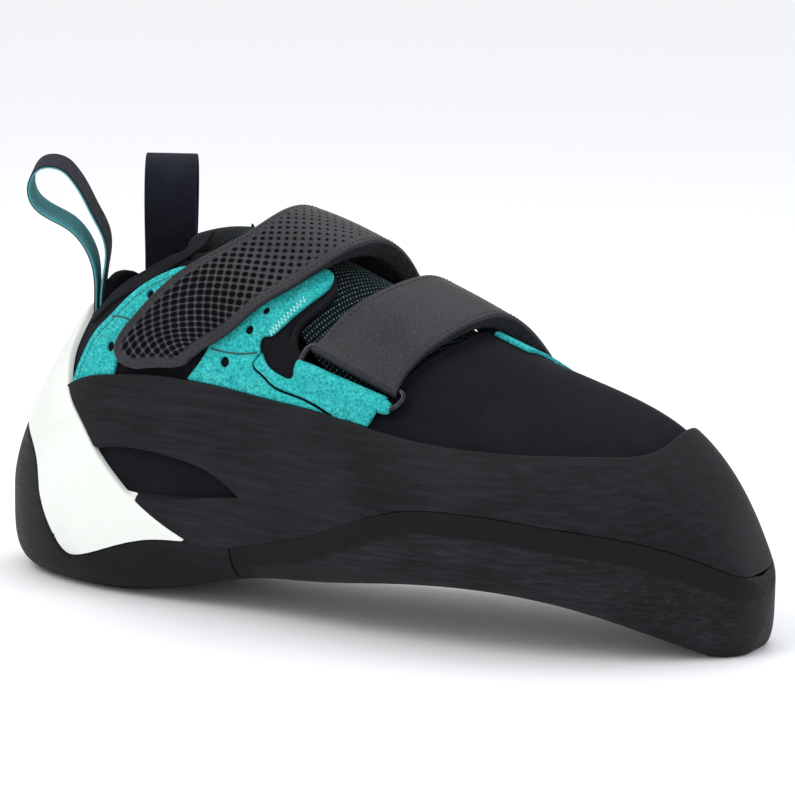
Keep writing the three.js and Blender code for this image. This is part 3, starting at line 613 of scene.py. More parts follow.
def sheet_solid(name, top, bottom, material, uv=None, inner=None, is_open=None, rim=None):
    """A closed sheet between two grids of points. is_open says which rows have side walls."""
    rows, columns = top.shape[:2]
    count = rows * columns
    at = np.arange(count).reshape(rows, columns)
    rows -= 1
    faces = []
    inner_faces = []
    for r in range(rows):
        for c in range(columns - 1):
            faces.append((at[r, c], at[r + 1, c], at[r + 1, c + 1], at[r, c + 1]))
    for r in range(rows):
        for c in range(columns - 1):
            inner_faces.append(len(faces))
            faces.append((at[r, c + 1] + count, at[r + 1, c + 1] + count,
                          at[r + 1, c] + count, at[r, c] + count))
    for r in range(rows):
        if is_open is None or is_open[r]:
            faces.append((at[r, 0], at[r, 0] + count, at[r + 1, 0] + count, at[r + 1, 0]))
            end = columns - 1
            faces.append((at[r, end], at[r + 1, end], at[r + 1, end] + count, at[r, end] + count))
    for c in range(columns - 1):
        faces.append((at[0, c], at[0, c + 1], at[0, c + 1] + count, at[0, c] + count))
        faces.append((at[rows, c + 1], at[rows, c], at[rows, c] + count, at[rows, c + 1] + count))
    points = np.concatenate([top.reshape(-1, 3), bottom.reshape(-1, 3)])
    both = None if uv is None else np.concatenate([uv.reshape(-1, 2), uv.reshape(-1, 2)])
    second = None if inner is None else (inner, inner_faces)
    mark = None if rim is None else np.concatenate([rim.ravel(), rim.ravel()])
    return finish_mesh(name, points, faces, material, both, second, mark)


def ring_faces(rows, sides, is_loop=False):
    """Faces between rings of points, row by row. Open rows get a face at each end."""
    faces = []
    for r in range(rows if is_loop else rows - 1):
        after = (r + 1) % rows
        for c in range(sides):
            d = (c + 1) % sides
            faces.append((r * sides + c, r * sides + d, after * sides + d, after * sides + c))
    if not is_loop:
        faces.append(tuple(range(sides))[::-1])
        faces.append(tuple(range((rows - 1) * sides, rows * sides)))
    return faces


def tube(name, path, radius, material, is_loop=False, sides=12):
    """A round rod along points."""
    path = np.asarray(path, float)
    count = len(path)
    if is_loop:
        way = np.roll(path, -1, axis=0) - np.roll(path, 1, axis=0)
    else:
        way = np.gradient(path, axis=0)
    way /= np.linalg.norm(way, axis=1, keepdims=True)
    side = np.array([0.3, 0.2, 1.0])
    rings = []
    for i in range(count):
        side = side - way[i] * (side @ way[i])
        side /= np.linalg.norm(side)
        up = np.cross(way[i], side)
        turn = 2 * math.pi * np.arange(sides) / sides
        rings.append(path[i] + radius * (np.cos(turn)[:, None] * side + np.sin(turn)[:, None] * up))
    points = np.concatenate(rings)
    return finish_mesh(name, points, ring_faces(count, sides, is_loop), material)


def cut(piece, tool):
    """Takes the tool's solid out of a piece."""
    change = piece.modifiers.new("cut", "BOOLEAN")
    change.object = tool
    change.operation = "DIFFERENCE"
    change.solver = "EXACT"
    bpy.context.view_layer.update()
    result = bpy.data.meshes.new_from_object(piece.evaluated_get(bpy.context.evaluated_depsgraph_get()))
    piece.modifiers.clear()
    piece.data = result
    bpy.data.objects.remove(tool)


def prism(name, outline, axis, start, end):
    """A straight block with an outline in the side view or in plan."""
    outline = np.asarray(outline, float)
    if area_of(outline) < 0:
        outline = outline[::-1]
    count = len(outline)
    points = []
    for depth in (start, end):
        for a, b in outline:
            points.append((a, depth, b) if axis == "y" else (a, b, depth))
    faces = [tuple(range(count)), tuple(range(count, 2 * count))[::-1]]
    faces += [(i, (i + 1) % count, (i + 1) % count + count, i + count) for i in range(count)]
    return finish_mesh(name, points, faces, None, is_smooth=False)


# Finishes

def linear(colour):
    """Scene colour of a colour that is written as shares of red, green and blue out of 255."""
    values = [c / 255 for c in colour]
    return tuple([v / 12.92 if v <= 0.04045 else ((v + 0.055) / 1.055) ** 2.4 for v in values] + [1.0])


class Finish:
    """A material and short calls that add nodes to it."""

    def __init__(self, name, colour, roughness, **values):
        self.material = bpy.data.materials.new(name)
        self.material.use_nodes = True
        self.tree = self.material.node_tree
        self.shader = self.tree.nodes["Principled BSDF"]
        self.shader.inputs["Base Color"].default_value = linear(colour)
        self.shader.inputs["Roughness"].default_value = roughness
        for label, value in values.items():
            socket = self.shader.inputs[label.replace("_", " ")]
            socket.default_value = linear(value) if isinstance(value, tuple) else value

    def add(self, kind, settings=None, **values):
        node = self.tree.nodes.new(kind)
        for label, value in (settings or {}).items():
            setattr(node, label, value)
        for label, value in values.items():
            index = int(label[1:]) if label[0] == "i" and label[1:].isdigit() else None
            socket = node.inputs[index] if index is not None else node.inputs[label.replace("_", " ")]
            if isinstance(value, bpy.types.NodeSocket):
                self.tree.links.new(value, socket)
            else:
                socket.default_value = value
        return node

    def coords(self, kind="Object"):
        return self.add("ShaderNodeTexCoord").outputs[kind]

    def mapped(self, kind="Object", scale=(1, 1, 1), turn=(0, 0, 0)):
        turn = tuple(math.radians(t) for t in turn)
        node = self.add("ShaderNodeMapping", Vector=self.coords(kind), Scale=scale, Rotation=turn)
        return node.outputs[0]

    def noise(self, vector, scale, detail=3.0, rough=0.55, distortion=0.0):
        node = self.add("ShaderNodeTexNoise", Vector=vector, Scale=scale, Detail=detail,
                        Roughness=rough, Distortion=distortion)
        return node.outputs["Fac"]

    def ramp(self, value, start, end, low=0.0, high=1.0):
        node = self.add("ShaderNodeMapRange", i0=value, i1=start, i2=end, i3=low, i4=high)
        return node.outputs[0]

    def math(self, operation, first, second=0.0):
        return self.add("ShaderNodeMath", {"operation": operation}, i0=first, i1=second).outputs[0]

    def mix(self, share, first, second):
        """A mix of two colours, each a colour out of 255 or a socket."""
        first = first if isinstance(first, bpy.types.NodeSocket) else linear(first)
        second = second if isinstance(second, bpy.types.NodeSocket) else linear(second)
        node = self.add("ShaderNodeMix", {"data_type": "RGBA"}, i0=share, i6=first, i7=second)
        return node.outputs[2]

    def bump(self, height, strength, depth, under=None):
        node = self.add("ShaderNodeBump", Height=height, Strength=strength, Distance=depth * MM)
        if under is not None:
            self.tree.links.new(under, node.inputs["Normal"])
        return node.outputs[0]

    def set(self, label, socket):
        self.tree.links.new(socket, self.shader.inputs[label])


def rubber_finish(name, colour, lit, along, grain, has_shaded_band=False):
    """Black rubber that was ground with long strokes, which lean by an angle in the side view.
    A band stays smooth, without the strokes, and is painted dark where the rim attribute is 1: smooth
    rubber with painted shade under the crease."""
    f = Finish(name, colour, 0.6, Specular_IOR_Level=0.16)
    strokes = f.noise(f.mapped(scale=(1, 4, 13), turn=(0, along, 0)), grain, 4.0, 0.62)
    fine = f.noise(f.mapped(scale=(1, 6, 20), turn=(0, along - 5, 0)), grain * 3.1, 3.0, 0.6)
    cloud = f.noise(f.coords(), 38.0, 2.0)
    mark = f.math("ADD", f.ramp(strokes, 0.42, 0.68, 0.0, 0.55), f.ramp(fine, 0.50, 0.72, 0.0, 0.35))
    tone = f.math("ADD", mark, f.ramp(cloud, 0.35, 0.7, -0.1, 0.3))
    tone = f.add("ShaderNodeClamp", i0=tone).outputs[0]
    # Painted shade: in the band under the crease the tone drops to near the dark colour.
    if has_shaded_band:
        band = f.add("ShaderNodeAttribute", {"attribute_name": "rim"}).outputs["Fac"]
        edge = f.math("ADD", band, f.math("MULTIPLY", f.math("SUBTRACT", fine, 0.5), 0.6))
        tone = f.math("MULTIPLY", tone, f.ramp(edge, 0.35, 0.65, 1.0, 0.08))
    f.set("Base Color", f.mix(tone, colour, lit))
    height = f.math("ADD", strokes, f.math("MULTIPLY", fine, 0.5))
    f.set("Roughness", f.ramp(height, 0.5, 1.1, 0.50, 0.72))
    pores = f.noise(f.coords(), 2600.0, 2.0)
    f.set("Normal", f.bump(height, 0.5, 0.4, f.bump(pores, 0.3, 0.12)))
    return f.material


def suede_finish(name, colour, pale, deep):
    f = Finish(name, colour, 0.95, Specular_IOR_Level=0.10, Sheen_Weight=0.22,
               Sheen_Roughness=0.45, Sheen_Tint=pale)
    nap = f.noise(f.coords(), 1300.0, 3.0, 0.7)
    tufts = f.noise(f.mapped(scale=(1, 1, 1.6)), 520.0, 2.0, 0.6)
    cloud = f.noise(f.coords(), 95.0, 3.0)
    grains = f.math("ADD", f.ramp(nap, 0.38, 0.64, 0.0, 0.75), f.ramp(tufts, 0.38, 0.66, 0.0, 0.35))
    speckle = f.mix(f.add("ShaderNodeClamp", i0=grains).outputs[0], deep, pale)
    f.set("Base Color", f.mix(f.ramp(cloud, 0.3, 0.7, 0.15, 0.5), speckle, colour))
    f.set("Normal", f.bump(nap, 0.75, 0.4, f.bump(cloud, 0.3, 0.8)))
    return f.material


def microfibre_finish(name, colour, pale):
    f = Finish(name, colour, 0.85, Specular_IOR_Level=0.15, Sheen_Weight=0.12,
               Sheen_Roughness=0.5, Sheen_Tint=(90, 90, 120))
    nap = f.noise(f.coords(), 1700.0, 2.0, 0.6)
    cloud = f.noise(f.coords(), 60.0, 3.0)
    tone = f.math("ADD", f.ramp(nap, 0.4, 0.75, 0.0, 0.6), f.ramp(cloud, 0.4, 0.7, 0.0, 0.4))
    f.set("Base Color", f.mix(tone, colour, pale))
    f.set("Normal", f.bump(nap, 0.35, 0.15))
    return f.material


def pale_rubber_finish():
    f = Finish("pale band rubber", (224, 228, 222), 0.42, Specular_IOR_Level=0.45)
    cloud = f.noise(f.coords(), 45.0, 3.0)
    grime = f.noise(f.coords(), 420.0, 4.0, 0.7)
    tone = f.math("ADD", f.ramp(cloud, 0.45, 0.75, 0.0, 0.5), f.ramp(grime, 0.62, 0.8, 0.0, 0.35))
    f.set("Base Color", f.mix(tone, (226, 230, 225), (206, 211, 205)))
    f.set("Roughness", f.ramp(grime, 0.3, 0.7, 0.38, 0.5))
    f.set("Normal", f.bump(grime, 0.15, 0.12))
    return f.material


def strap_finish(name, colour, pale, has_pits):
    """Coated strap leather, with painted shade in its pits and painted highlight dots between them. Its
    map runs along the strap in x and across it in y.
    """
    f = Finish(name, colour, 0.5, Specular_IOR_Level=0.28)
    grain = f.noise(f.coords(), 2300.0, 3.0, 0.6)
    cloud = f.noise(f.coords(), 70.0, 2.0)
    along = f.add("ShaderNodeSeparateXYZ", Vector=f.coords("UV")).outputs[0]
    pitch = 2.35 if has_pits else 1.9
    vector = f.mapped("UV", scale=(1 / (pitch * MM),) * 3, turn=(0, 0, 45.0))
    cells = f.add("ShaderNodeTexVoronoi", {"voronoi_dimensions": "2D"}, Vector=vector, Scale=1.0,
                  Randomness=0.0).outputs["Distance"]
    inner = f.add("ShaderNodeAttribute", {"attribute_name": "rim"}).outputs["Fac"]
    if has_pits:
        size = f.ramp(along, 0.030, 0.088, 0.42, 0.10)
        shown = f.math("MULTIPLY", f.ramp(along, 0.086, 0.100, 1.0, 0.0), inner)
        # Painted highlight: light dots on the raised points between the pits.
        points = f.math("MULTIPLY", f.ramp(cells, 0.60, 0.68), f.ramp(along, 0.030, 0.070, 1.0, 0.0))
        points = f.math("MULTIPLY", points, inner)
    else:
        size = f.ramp(along, 0.046, 0.052, 0.20, 0.22)
        shown = f.math("MULTIPLY", f.ramp(along, 0.046, 0.050), inner)
        points = f.math("MULTIPLY", cells, 0.0)
    shaded_pit = f.math("MULTIPLY", f.ramp(f.math("SUBTRACT", size, cells), -0.05, 0.05), shown)
    base = f.mix(f.ramp(cloud, 0.3, 0.75), colour, pale)
    fleck = f.mix(f.ramp(grain, 0.52, 0.72, 0.0, 0.35), base, (98, 98, 106))
    # Painted shade: the pits are painted near black.
    dark = f.mix(f.math("MULTIPLY", shaded_pit, 0.94), fleck, (7, 7, 9))
    # Painted highlight: the dots between the pits are painted pale.
    f.set("Base Color", f.mix(f.math("MULTIPLY", points, 0.7), dark, (112, 112, 122)))
    f.set("Specular IOR Level", f.ramp(shaded_pit, 0.0, 1.0, 0.28, 0.03))
    f.set("Roughness", f.math("ADD", f.ramp(grain, 0.3, 0.7, 0.44, 0.56), f.math("MULTIPLY", shaded_pit, 0.3)))
    relief = f.math("ADD", f.math("SUBTRACT", 1.0, shaded_pit), f.math("MULTIPLY", points, 0.35))
    depth = 0.35 if has_pits else 0.2
    f.set("Normal", f.bump(relief, 0.6, depth, f.bump(grain, 0.35, 0.12)))
    return f.material


def pile_finish():
    f = Finish("black pile", (12, 12, 14), 0.95, Specular_IOR_Level=0.15, Sheen_Weight=0.3,
               Sheen_Tint=(110, 110, 120))
    fuzz = f.noise(f.coords(), 2200.0, 4.0, 0.75)
    f.set("Base Color", f.mix(f.ramp(fuzz, 0.5, 0.72), (8, 8, 10), (74, 74, 80)))
    f.set("Normal", f.bump(fuzz, 0.9, 0.6))
    return f.material


def mesh_finish(name, ground, thread, column, dash, lean, share, plain_behind):
    """Knitted mesh: short dashes in leaning columns, on the piece's own map. Behind a place
    along the shoe, in metres, the dashes fade out."""
    f = Finish(name, ground, 0.9, Specular_IOR_Level=0.08, Sheen_Weight=0.04)
    vector = f.mapped("UV", turn=(0, 0, lean))
    parts = f.add("ShaderNodeSeparateXYZ", Vector=vector)
    rows = f.math("SINE", f.math("MULTIPLY", parts.outputs[0], 2 * math.pi / (column * MM)))
    shift = f.math("SINE", f.math("MULTIPLY", parts.outputs[0], math.pi / (column * MM)))
    steps = f.math("MULTIPLY", parts.outputs[1], 2 * math.pi / (dash * MM))
    marks = f.math("SINE", f.math("ADD", steps, f.math("MULTIPLY", f.math("SIGN", shift), 1.57)))
    wobble = f.noise(f.coords("UV"), 900.0, 2.0)
    cell = f.math("MULTIPLY", f.ramp(rows, -0.2, 0.5), f.ramp(marks, -0.1, 0.6))
    along = f.add("ShaderNodeSeparateXYZ", Vector=f.coords()).outputs[0]
    shown = f.ramp(along, plain_behind, plain_behind + 0.012, 0.12, 1.0)
    tone = f.math("MULTIPLY", cell, f.ramp(wobble, 0.38, 0.62, 0.25, 1.2))
    tone = f.math("MULTIPLY", tone, shown)
    f.set("Base Color", f.mix(f.math("MULTIPLY", tone, share), ground, thread))
    f.set("Normal", f.bump(f.math("ADD", cell, f.math("MULTIPLY", wobble, 0.3)), 0.9, 0.45))
    return f.material


def webbing_finish(name, colour, pale):
    """Ribbed woven tape. Its map runs along the tape in x and across it in y."""
    f = Finish(name, colour, 0.8, Specular_IOR_Level=0.12, Sheen_Weight=0.04)
    parts = f.add("ShaderNodeSeparateXYZ", Vector=f.coords("UV"))
    ribs = f.math("SINE", f.math("MULTIPLY", parts.outputs[0], 2 * math.pi / (0.62 * MM)))
    ends = f.math("SINE", f.math("MULTIPLY", parts.outputs[1], 2 * math.pi / (0.5 * MM)))
    weave = f.math("ADD", ribs, f.math("MULTIPLY", ends, 0.35))
    wear = f.noise(f.coords(), 130.0, 3.0)
    tone = f.math("ADD", f.ramp(weave, -0.9, 1.2, 0.0, 0.7), f.ramp(wear, 0.45, 0.75, 0.0, 0.3))
    f.set("Base Color", f.mix(tone, colour, pale))
    f.set("Normal", f.bump(weave, 0.6, 0.16))
    return f.material


def wire_finish():
    f = Finish("dark ring wire", (26, 26, 30), 0.2, Metallic=0.6, Specular_IOR_Level=0.7)
    wear = f.noise(f.coords(), 700.0, 3.0)
    f.set("Base Color", f.mix(f.ramp(wear, 0.5, 0.8), (22, 22, 26), (58, 58, 64)))
    f.set("Roughness", f.ramp(wear, 0.3, 0.7, 0.14, 0.3))
    f.set("Normal", f.bump(wear, 0.1, 0.05))
    return f.material


def thread_finish(name, colour, pale):
    f = Finish(name, colour, 0.7, Specular_IOR_Level=0.3, Sheen_Weight=0.2)
    twist = f.noise(f.mapped(scale=(1, 1, 3)), 2400.0, 2.0)
    f.set("Base Color", f.mix(f.ramp(twist, 0.35, 0.65), colour, pale))
    f.set("Normal", f.bump(twist, 0.5, 0.1))
    return f.material


RUBBER_SIDE = rubber_finish("side rubber", (9, 8, 12), (36, 35, 42), -17.0, 60.0)
# The sole rubber paints the band under the crease dark, as painted shade.
RUBBER_SOLE = rubber_finish("sole rubber", (8, 8, 10), (44, 44, 50), -3.0, 90.0, True)
RUBBER_CUP = rubber_finish("cup rubber", (7, 7, 10), (26, 25, 31), 12.0, 55.0)
PALE_RUBBER = pale_rubber_finish()
TEAL_SUEDE = suede_finish("teal suede", (18, 164, 164), (78, 208, 208), (2, 104, 106))
MICROFIBRE = microfibre_finish("black microfibre", (7, 7, 11), (20, 20, 28))
BINDING = microfibre_finish("black binding", (10, 10, 13), (28, 27, 32))
PITTED_STRAP = strap_finish("pitted strap", (22, 22, 27), (36, 36, 42), True)
GREY_STRAP = strap_finish("grey strap", (20, 20, 25), (35, 36, 42), False)
PILE = pile_finish()
TONGUE_MESH = mesh_finish("tongue mesh", (5, 6, 8), (86, 130, 132), 1.5, 1.1, 30.0, 0.8, -0.046)
LINING_MESH = mesh_finish("lining mesh", (20, 20, 24), (52, 54, 62), 1.1, 0.9, 40.0, 0.8, -0.2)
WEBBING_OUTSIDE = webbing_finish("dark webbing", (14, 16, 26), (36, 38, 52))
WEBBING_INSIDE = webbing_finish("teal webbing", (60, 132, 140), (98, 172, 176))
RING_WIRE = wire_finish()
FOOTBED = microfibre_finish("footbed cloth", (34, 34, 38), (62, 62, 68))
# Dark thread for the seam cords. The same finish is the painted shade of the collar rim's stitch groove.
DARK_THREAD_AND_GROOVE_SHADE = thread_finish("dark thread and groove shade", (14, 60, 62), (24, 92, 92))
BLACK_THREAD = thread_finish("black thread", (10, 10, 12), (34, 34, 38))
TEAL_THREAD = thread_finish("teal thread", (130, 216, 212), (190, 240, 236))
RIM_THREAD = thread_finish("rim thread", (30, 150, 148), (60, 200, 196))


# Rubber

def cap(name, first, last, line, material, radius, is_toe):
    """The sole or the heel cup: all round under a side-view line, closed at its far end."""
    gap = -CLEARANCE / 2
    far = 1.0 if is_toe else 0.0
    edge = over_crest(first, last, line, rubber_face, 1.1, gap)
    border = rubber_face(edge[:, 0], edge[:, 1])
    stations = np.unique(np.round(np.concatenate([
        edge[:, 0], np.linspace(min(first, far), max(first, far), 150)]), 5))
    keep = np.concatenate([[True], np.diff(stations) > 0.0009])
    stations = stations[keep]
    stations = stations[(stations > min(first, far) + 1e-4) & (stations < max(first, far) - 1e-4)]
    first_rows = first + np.array([0.0, 0.0003, 0.0011, 0.0023]) * (1 if is_toe else -1)
    stations = np.concatenate([first_rows, stations if is_toe else stations[::-1]])
    stations = np.sort(stations) if is_toe else np.sort(stations)[::-1]
    outer = crossing(stations, line, rubber_face, False, gap)
    inner = crossing(stations, line, rubber_face, True, gap)
    chart = Chart(SQUARER_SOLE, 3.0)
    start = chart.place(stations, outer)
    start = np.where(start < 3, start + 4, start)[:, None]
    end = chart.place(stations, inner)
    end = np.where(end > 3, end - 4, end)[:, None]
    tail = np.array([0, 0.008, 0.022, 0.045])
    middle = np.clip(np.linspace(5, 1, 116)[None, :], end + tail[-1], start - tail[-1])
    place = np.concatenate([start - tail, middle, end + tail[::-1]], 1)
    columns = place.shape[1]
    grid = np.repeat(stations[:, None], columns, 1)
    turn = chart.turn(grid, place)
    turn[:, 0] = outer
    turn[:, -1] = inner
    face = rubber_face(grid, turn)
    bed = rubber_bed(grid, turn)
    near = distances(face.reshape(-1, 3), np.concatenate([border, face[0]])).reshape(grid.shape)
    height = edge_height(near, radius, RUBBER - CLEARANCE)
    top = bed + (face - bed) * height[..., None]
    # The rim attribute marks the band under the crease, which the sole's finish paints dark as painted
    # shade.
    band = np.clip((SHADED_BAND_DEPTH - near) / 1.5 + 0.5, 0, 1) if is_toe else np.zeros(near.shape)
    is_open = np.minimum(np.abs(outer - QUARTER), np.abs(inner - QUARTER)) > 1e-4
    pole = rubber_face(np.array([far]), np.array([0.0]))
    pole_bed = rubber_bed(np.array([far]), np.array([0.0]))
    top = np.concatenate([top, np.repeat(pole[None], columns, 1)])
    bed = np.concatenate([bed, np.repeat(pole_bed[None], columns, 1)])
    band = np.concatenate([band, band[-1:]])
    return sheet_solid(name, top, bed, material, is_open=list(is_open), rim=band)


half = CLEARANCE / 2
half_joint = 0.0006    # half the clearance, as a share of LENGTH
outsole = cap("outsole_rubber", station_of(CUP_END + half_joint), TOE_CREST, WALL_TOP, RUBBER_SOLE,
              SEAM_EDGE, True)
stands_for("outsole")
heel_cup = cap("heel_cup_rubber", station_of(CUP_END - half_joint), 0.02, CUP_TOP, RUBBER_CUP,
               0.6, False)
stands_for("heel_cup")


def side_edge(line, face, step, is_medial=False, squarer=0.0, gap=0.0):
    """A side-view line on a face, as stations and turns."""
    flat = moved(smooth(side_line(line), 0.6), gap)
    spots = locate(flat, face, is_medial, squarer)
    return resample(spots, face(spots[:, 0], spots[:, 1]), step)


tip_station = station_of(0.332)
band_rear = over_crest(tip_station, 0.02, BAND_REAR, rubber_face, 0.9, half)
collar_station = station_of(BAND_FRONT[0][0])
band_top = over_crest(collar_station, 0.08, COLLAR, rubber_face, 0.9, -CLEARANCE)
front_lateral = side_edge(BAND_FRONT, rubber_face, 0.9, False, SQUARER_SOLE, -half)
front_medial = side_edge(BAND_FRONT, rubber_face, 0.9, True, SQUARER_SOLE, -half)
band_loop = np.concatenate([band_rear, front_medial[::-1], band_top[::-1], front_lateral])
tension_band = panel("heel_tension_band", [band_loop], RUBBER_CHART, rubber_bed,
                     lambda s, t: rubber_face(s, t) + face_normal(s, t) * 0.25,
                     PALE_RUBBER, RUBBER - CLEARANCE, 0.9, 1.3)
stands_for("tension_band")

crease = over_crest(tip_station, TOE_CREST, WALL_TOP, rubber_face, 0.9, half - SEAM_CLOSE)
rand_start = station_of(0.1335)
rand_top = over_crest(rand_start, 0.90, RAND_TOP, rubber_face, 0.9, -half)


def part_of(line, low, high):
    """The part of a line between two heights in its second column."""
    line = np.asarray(line)
    dense = smooth(line, 0.004)
    return dense[(dense[:, 1] > low) & (dense[:, 1] < high)]


def front_with_eye(is_medial):
    """The rand's edge beside the band, from its top to the band's tip, with the eye's bite."""
    pieces = [
        side_edge(part_of(BAND_FRONT, 0.405, 0.548), rubber_face, 0.9, is_medial, SQUARER_SOLE, half),
        side_edge(EYE_TOP, rubber_face, 0.7, is_medial, SQUARER_SOLE),
        side_edge(EYE_UNDER, rubber_face, 0.7, is_medial, SQUARER_SOLE),
        side_edge(part_of(BAND_FRONT, 0.176, 0.272), rubber_face, 0.9, is_medial, SQUARER_SOLE, half),
    ]
    return np.concatenate(pieces)


rand_loop = np.concatenate([crease, front_with_eye(True)[::-1], rand_top[::-1], front_with_eye(False)])
rand = panel("side_rand", [rand_loop], RUBBER_CHART, rubber_bed, rubber_face, RUBBER_SIDE,
             RUBBER - CLEARANCE, 0.4, 1.4)
stands_for("rand")


# Upper

def make_upper():
    rows = 170
    stations = np.arange(1, rows) / rows
    places = np.linspace(0, 4, 145)[:-1]
    grid = np.repeat(stations[:, None], len(places), 1)
    turn = UPPER_CHART.turn(grid, np.repeat(places[None, :], len(stations), 0))
    shells = []
    for lift in (0.0, -UPPER_WALL):
        points = on_upper(grid, turn, np.full(grid.shape, lift)).reshape(-1, 3)
        ends = [on_upper(np.array([e]), np.array([0.0]), np.array([lift]))[0] for e in (0.0, 1.0)]
        shells.append(np.concatenate([points, ends]))
    columns = len(places)
    faces = []
    for shell, start in enumerate((0, len(shells[0]))):
        heel = start + len(stations) * columns
        toe = heel + 1
        quads = []
        for c in range(columns):
            d = (c + 1) % columns
            quads.append((heel, start + c, start + d))
            last = start + (len(stations) - 1) * columns
            quads.append((toe, last + d, last + c))
            for r in range(len(stations) - 1):
                a = start + r * columns
                quads.append((a + c, a + columns + c, a + columns + d, a + d))
        faces += quads if shell == 0 else [q[::-1] for q in quads]
    mesh = bpy.data.meshes.new("upper_shell")
    points = (np.concatenate(shells) + SHIFT) * MM
    mesh.from_pydata(points.tolist(), [], [tuple(int(i) for i in f) for f in faces])
    mesh.materials.append(MICROFIBRE)
    piece = bpy.data.objects.new("upper_shell", mesh)
    bpy.context.scene.collection.objects.link(piece)
    collar = smooth(side_line(COLLAR), 1.5)
    above = np.concatenate([collar, [[collar[-1][0], 300.0], [-60.0, 300.0]]])
    throat = smooth(np.array(THROAT + THROAT[:1]) * [LENGTH, BALL], 1.5)[:-1]
    under = smooth(np.array(UNDER_PLAN + UNDER_PLAN[:1]) * [LENGTH, BALL], 3.0)[:-1]
    cut(piece, prism("collar_tool", above, "y", -BALL, BALL))
    cut(piece, prism("throat_tool", throat, "z", INSTEP / 2, 300.0))
    cut(piece, prism("under_tool", under, "z", -50.0, INSTEP / 3))
    piece.data.polygons.foreach_set("use_smooth", [True] * len(piece.data.polygons))
    piece.data.set_sharp_from_angle(angle=math.radians(50))
    return piece


THROAT = [
    [0.285, -0.235], [0.350, -0.170], [0.420, -0.120], [0.462, -0.105], [0.480, -0.165],
    [0.462, -0.250], [0.445, -0.310], [0.478, -0.345], [0.590, -0.330], [0.608, -0.220],
    [0.628, -0.090], [0.637, 0.030], [0.637, 0.160], [0.622, 0.310], [0.580, 0.360],
    [0.525, 0.330], [0.460, 0.245], [0.400, 0.205], [0.335, 0.205], [0.285, 0.235],
]
UNDER_PLAN = [
    [0.060, -0.080], [0.100, -0.170], [0.200, -0.220], [0.350, -0.230], [0.500, -0.280],
    [0.620, -0.310], [0.720, -0.290], [0.820, -0.190], [0.900, -0.040], [0.935, 0.100],
    [0.925, 0.230], [0.860, 0.330], [0.760, 0.370], [0.640, 0.330], [0.500, 0.240],
    [0.350, 0.170], [0.200, 0.200], [0.100, 0.170], [0.060, 0.080],
]
upper = make_upper()
stands_for("upper")


# Suede pieces, as side-view corners and curves in millimetres

def suede_loop(curves, is_medial):
    """An outline on the suede's face from smooth curves that meet in corners."""
    loop = []
    for curve in curves:
        spots = locate(smooth(curve, 0.5), suede_face, is_medial)
        loop.append(resample(spots, suede_face(spots[:, 0], spots[:, 1]), 0.7)[:-1])
    return np.concatenate(loop)


def suede_piece(name, node, curves, is_medial=False, holes=()):
    """A suede panel from its outline's curves, with round holes."""
    loops = [suede_loop(curves, is_medial)]
    for x, z, radius in holes:
        turn = np.linspace(0, 2 * math.pi, 22)[:-1]
        ring = np.stack([x + radius * np.cos(turn), z + radius * np.sin(turn)], 1)
        loops.append(locate(ring, suede_face, is_medial))
    piece = panel(name, loops, UPPER_CHART, layer(CLEARANCE), suede_face, TEAL_SUEDE, SUEDE, 0.4, 1.3)
    stands_for(node)


rand_height = smooth(side_line(RAND_TOP), 1.0)


def along_rand(start, end, rise=-0.4):
    """Points on the rand's top edge between two places, in that order."""
    x = np.linspace(start, end, max(3, int(abs(end - start) / 6)))
    return np.stack([x, np.interp(x, rand_height[:, 0], rand_height[:, 1]) + rise], 1)


rear_edge = [[32.4, 61.2], [33.6, 66.0], [35.6, 71.5], [39.0, 77.5], [44.0, 82.4], [49.0, 87.6],
             [55.0, 92.6], [62.0, 96.6], [69.0, 98.9], [75.0, 98.5]]
rear_right = [[75.0, 98.5], [70.0, 91.0], [61.0, 83.0], [53.6, 77.0], [50.6, 71.5], [49.5, 66.0]]
suede_piece("suede_rear_lateral", "quarter_rear_lateral",
            [rear_edge, rear_right, along_rand(49.5, 32.4)],
            holes=[(58.3, 90.0, 1.25), (46.9, 73.9, 1.5)])

arm_top = [[75.6, 67.9], [79.4, 73.2], [81.6, 78.0], [81.8, 85.0], [85.0, 94.0], [94.0, 100.8],
           [103.0, 101.6], [110.0, 100.0]]
arm_tip = [[110.0, 100.0], [112.2, 98.6], [112.9, 96.2], [111.4, 93.6], [109.0, 91.0]]
arm_under = [[109.0, 91.0], [106.0, 87.6], [103.0, 84.0], [100.6, 82.2], [98.6, 81.8], [98.0, 79.4],
             [98.7, 77.3]]
front_seam = [[98.7, 77.3], [97.4, 75.6], [96.6, 74.0], [100.0, 71.0], [104.0, 68.4], [109.5, 66.9],
              [115.0, 65.8], [121.0, 63.7], [127.6, 61.0]]
suede_piece("suede_front_lateral", "quarter_front_lateral",
            [arm_top, arm_tip, arm_under, front_seam, along_rand(127.6, 75.6)],
            holes=[(87.5, 73.7, 1.5), (93.9, 83.3, 1.25), (97.7, 88.9, 1.0)])


# Medial suede, strap anchor and ring tabs

medial_rear = smooth([[32.4, 61.2], [33.6, 66.0], [37.0, 74.0], [44.0, 82.4], [49.0, 88.6], [55.0, 93.5],
                      [62.0, 97.2], [68.0, 101.0], [74.0, 103.0], [82.0, 101.5], [88.0, 97.0]], 2.0)
medial_front = [[88.0, 97.0], [91.0, 90.0], [95.0, 82.0], [97.0, 74.0], [96.0, 66.3]]
suede_piece("suede_medial", "quarter_medial",
            [medial_rear, medial_front, along_rand(96.0, 32.4)], is_medial=True,
            holes=[(58.3, 88.0, 1.25), (46.9, 73.9, 1.5), (84.0, 80.0, 1.4)])
suede_piece("suede_strap_anchor", "strap_anchor",
            [[[144.0, 59.6], [144.6, 68.0], [149.0, 77.0], [156.0, 84.2], [161.0, 83.6], [166.0, 79.0],
              [172.0, 73.0], [177.0, 66.0], [178.0, 56.8]], along_rand(178.0, 144.0)], is_medial=True)


ROLL = WIRE + CLEARANCE + FOLD_WALL


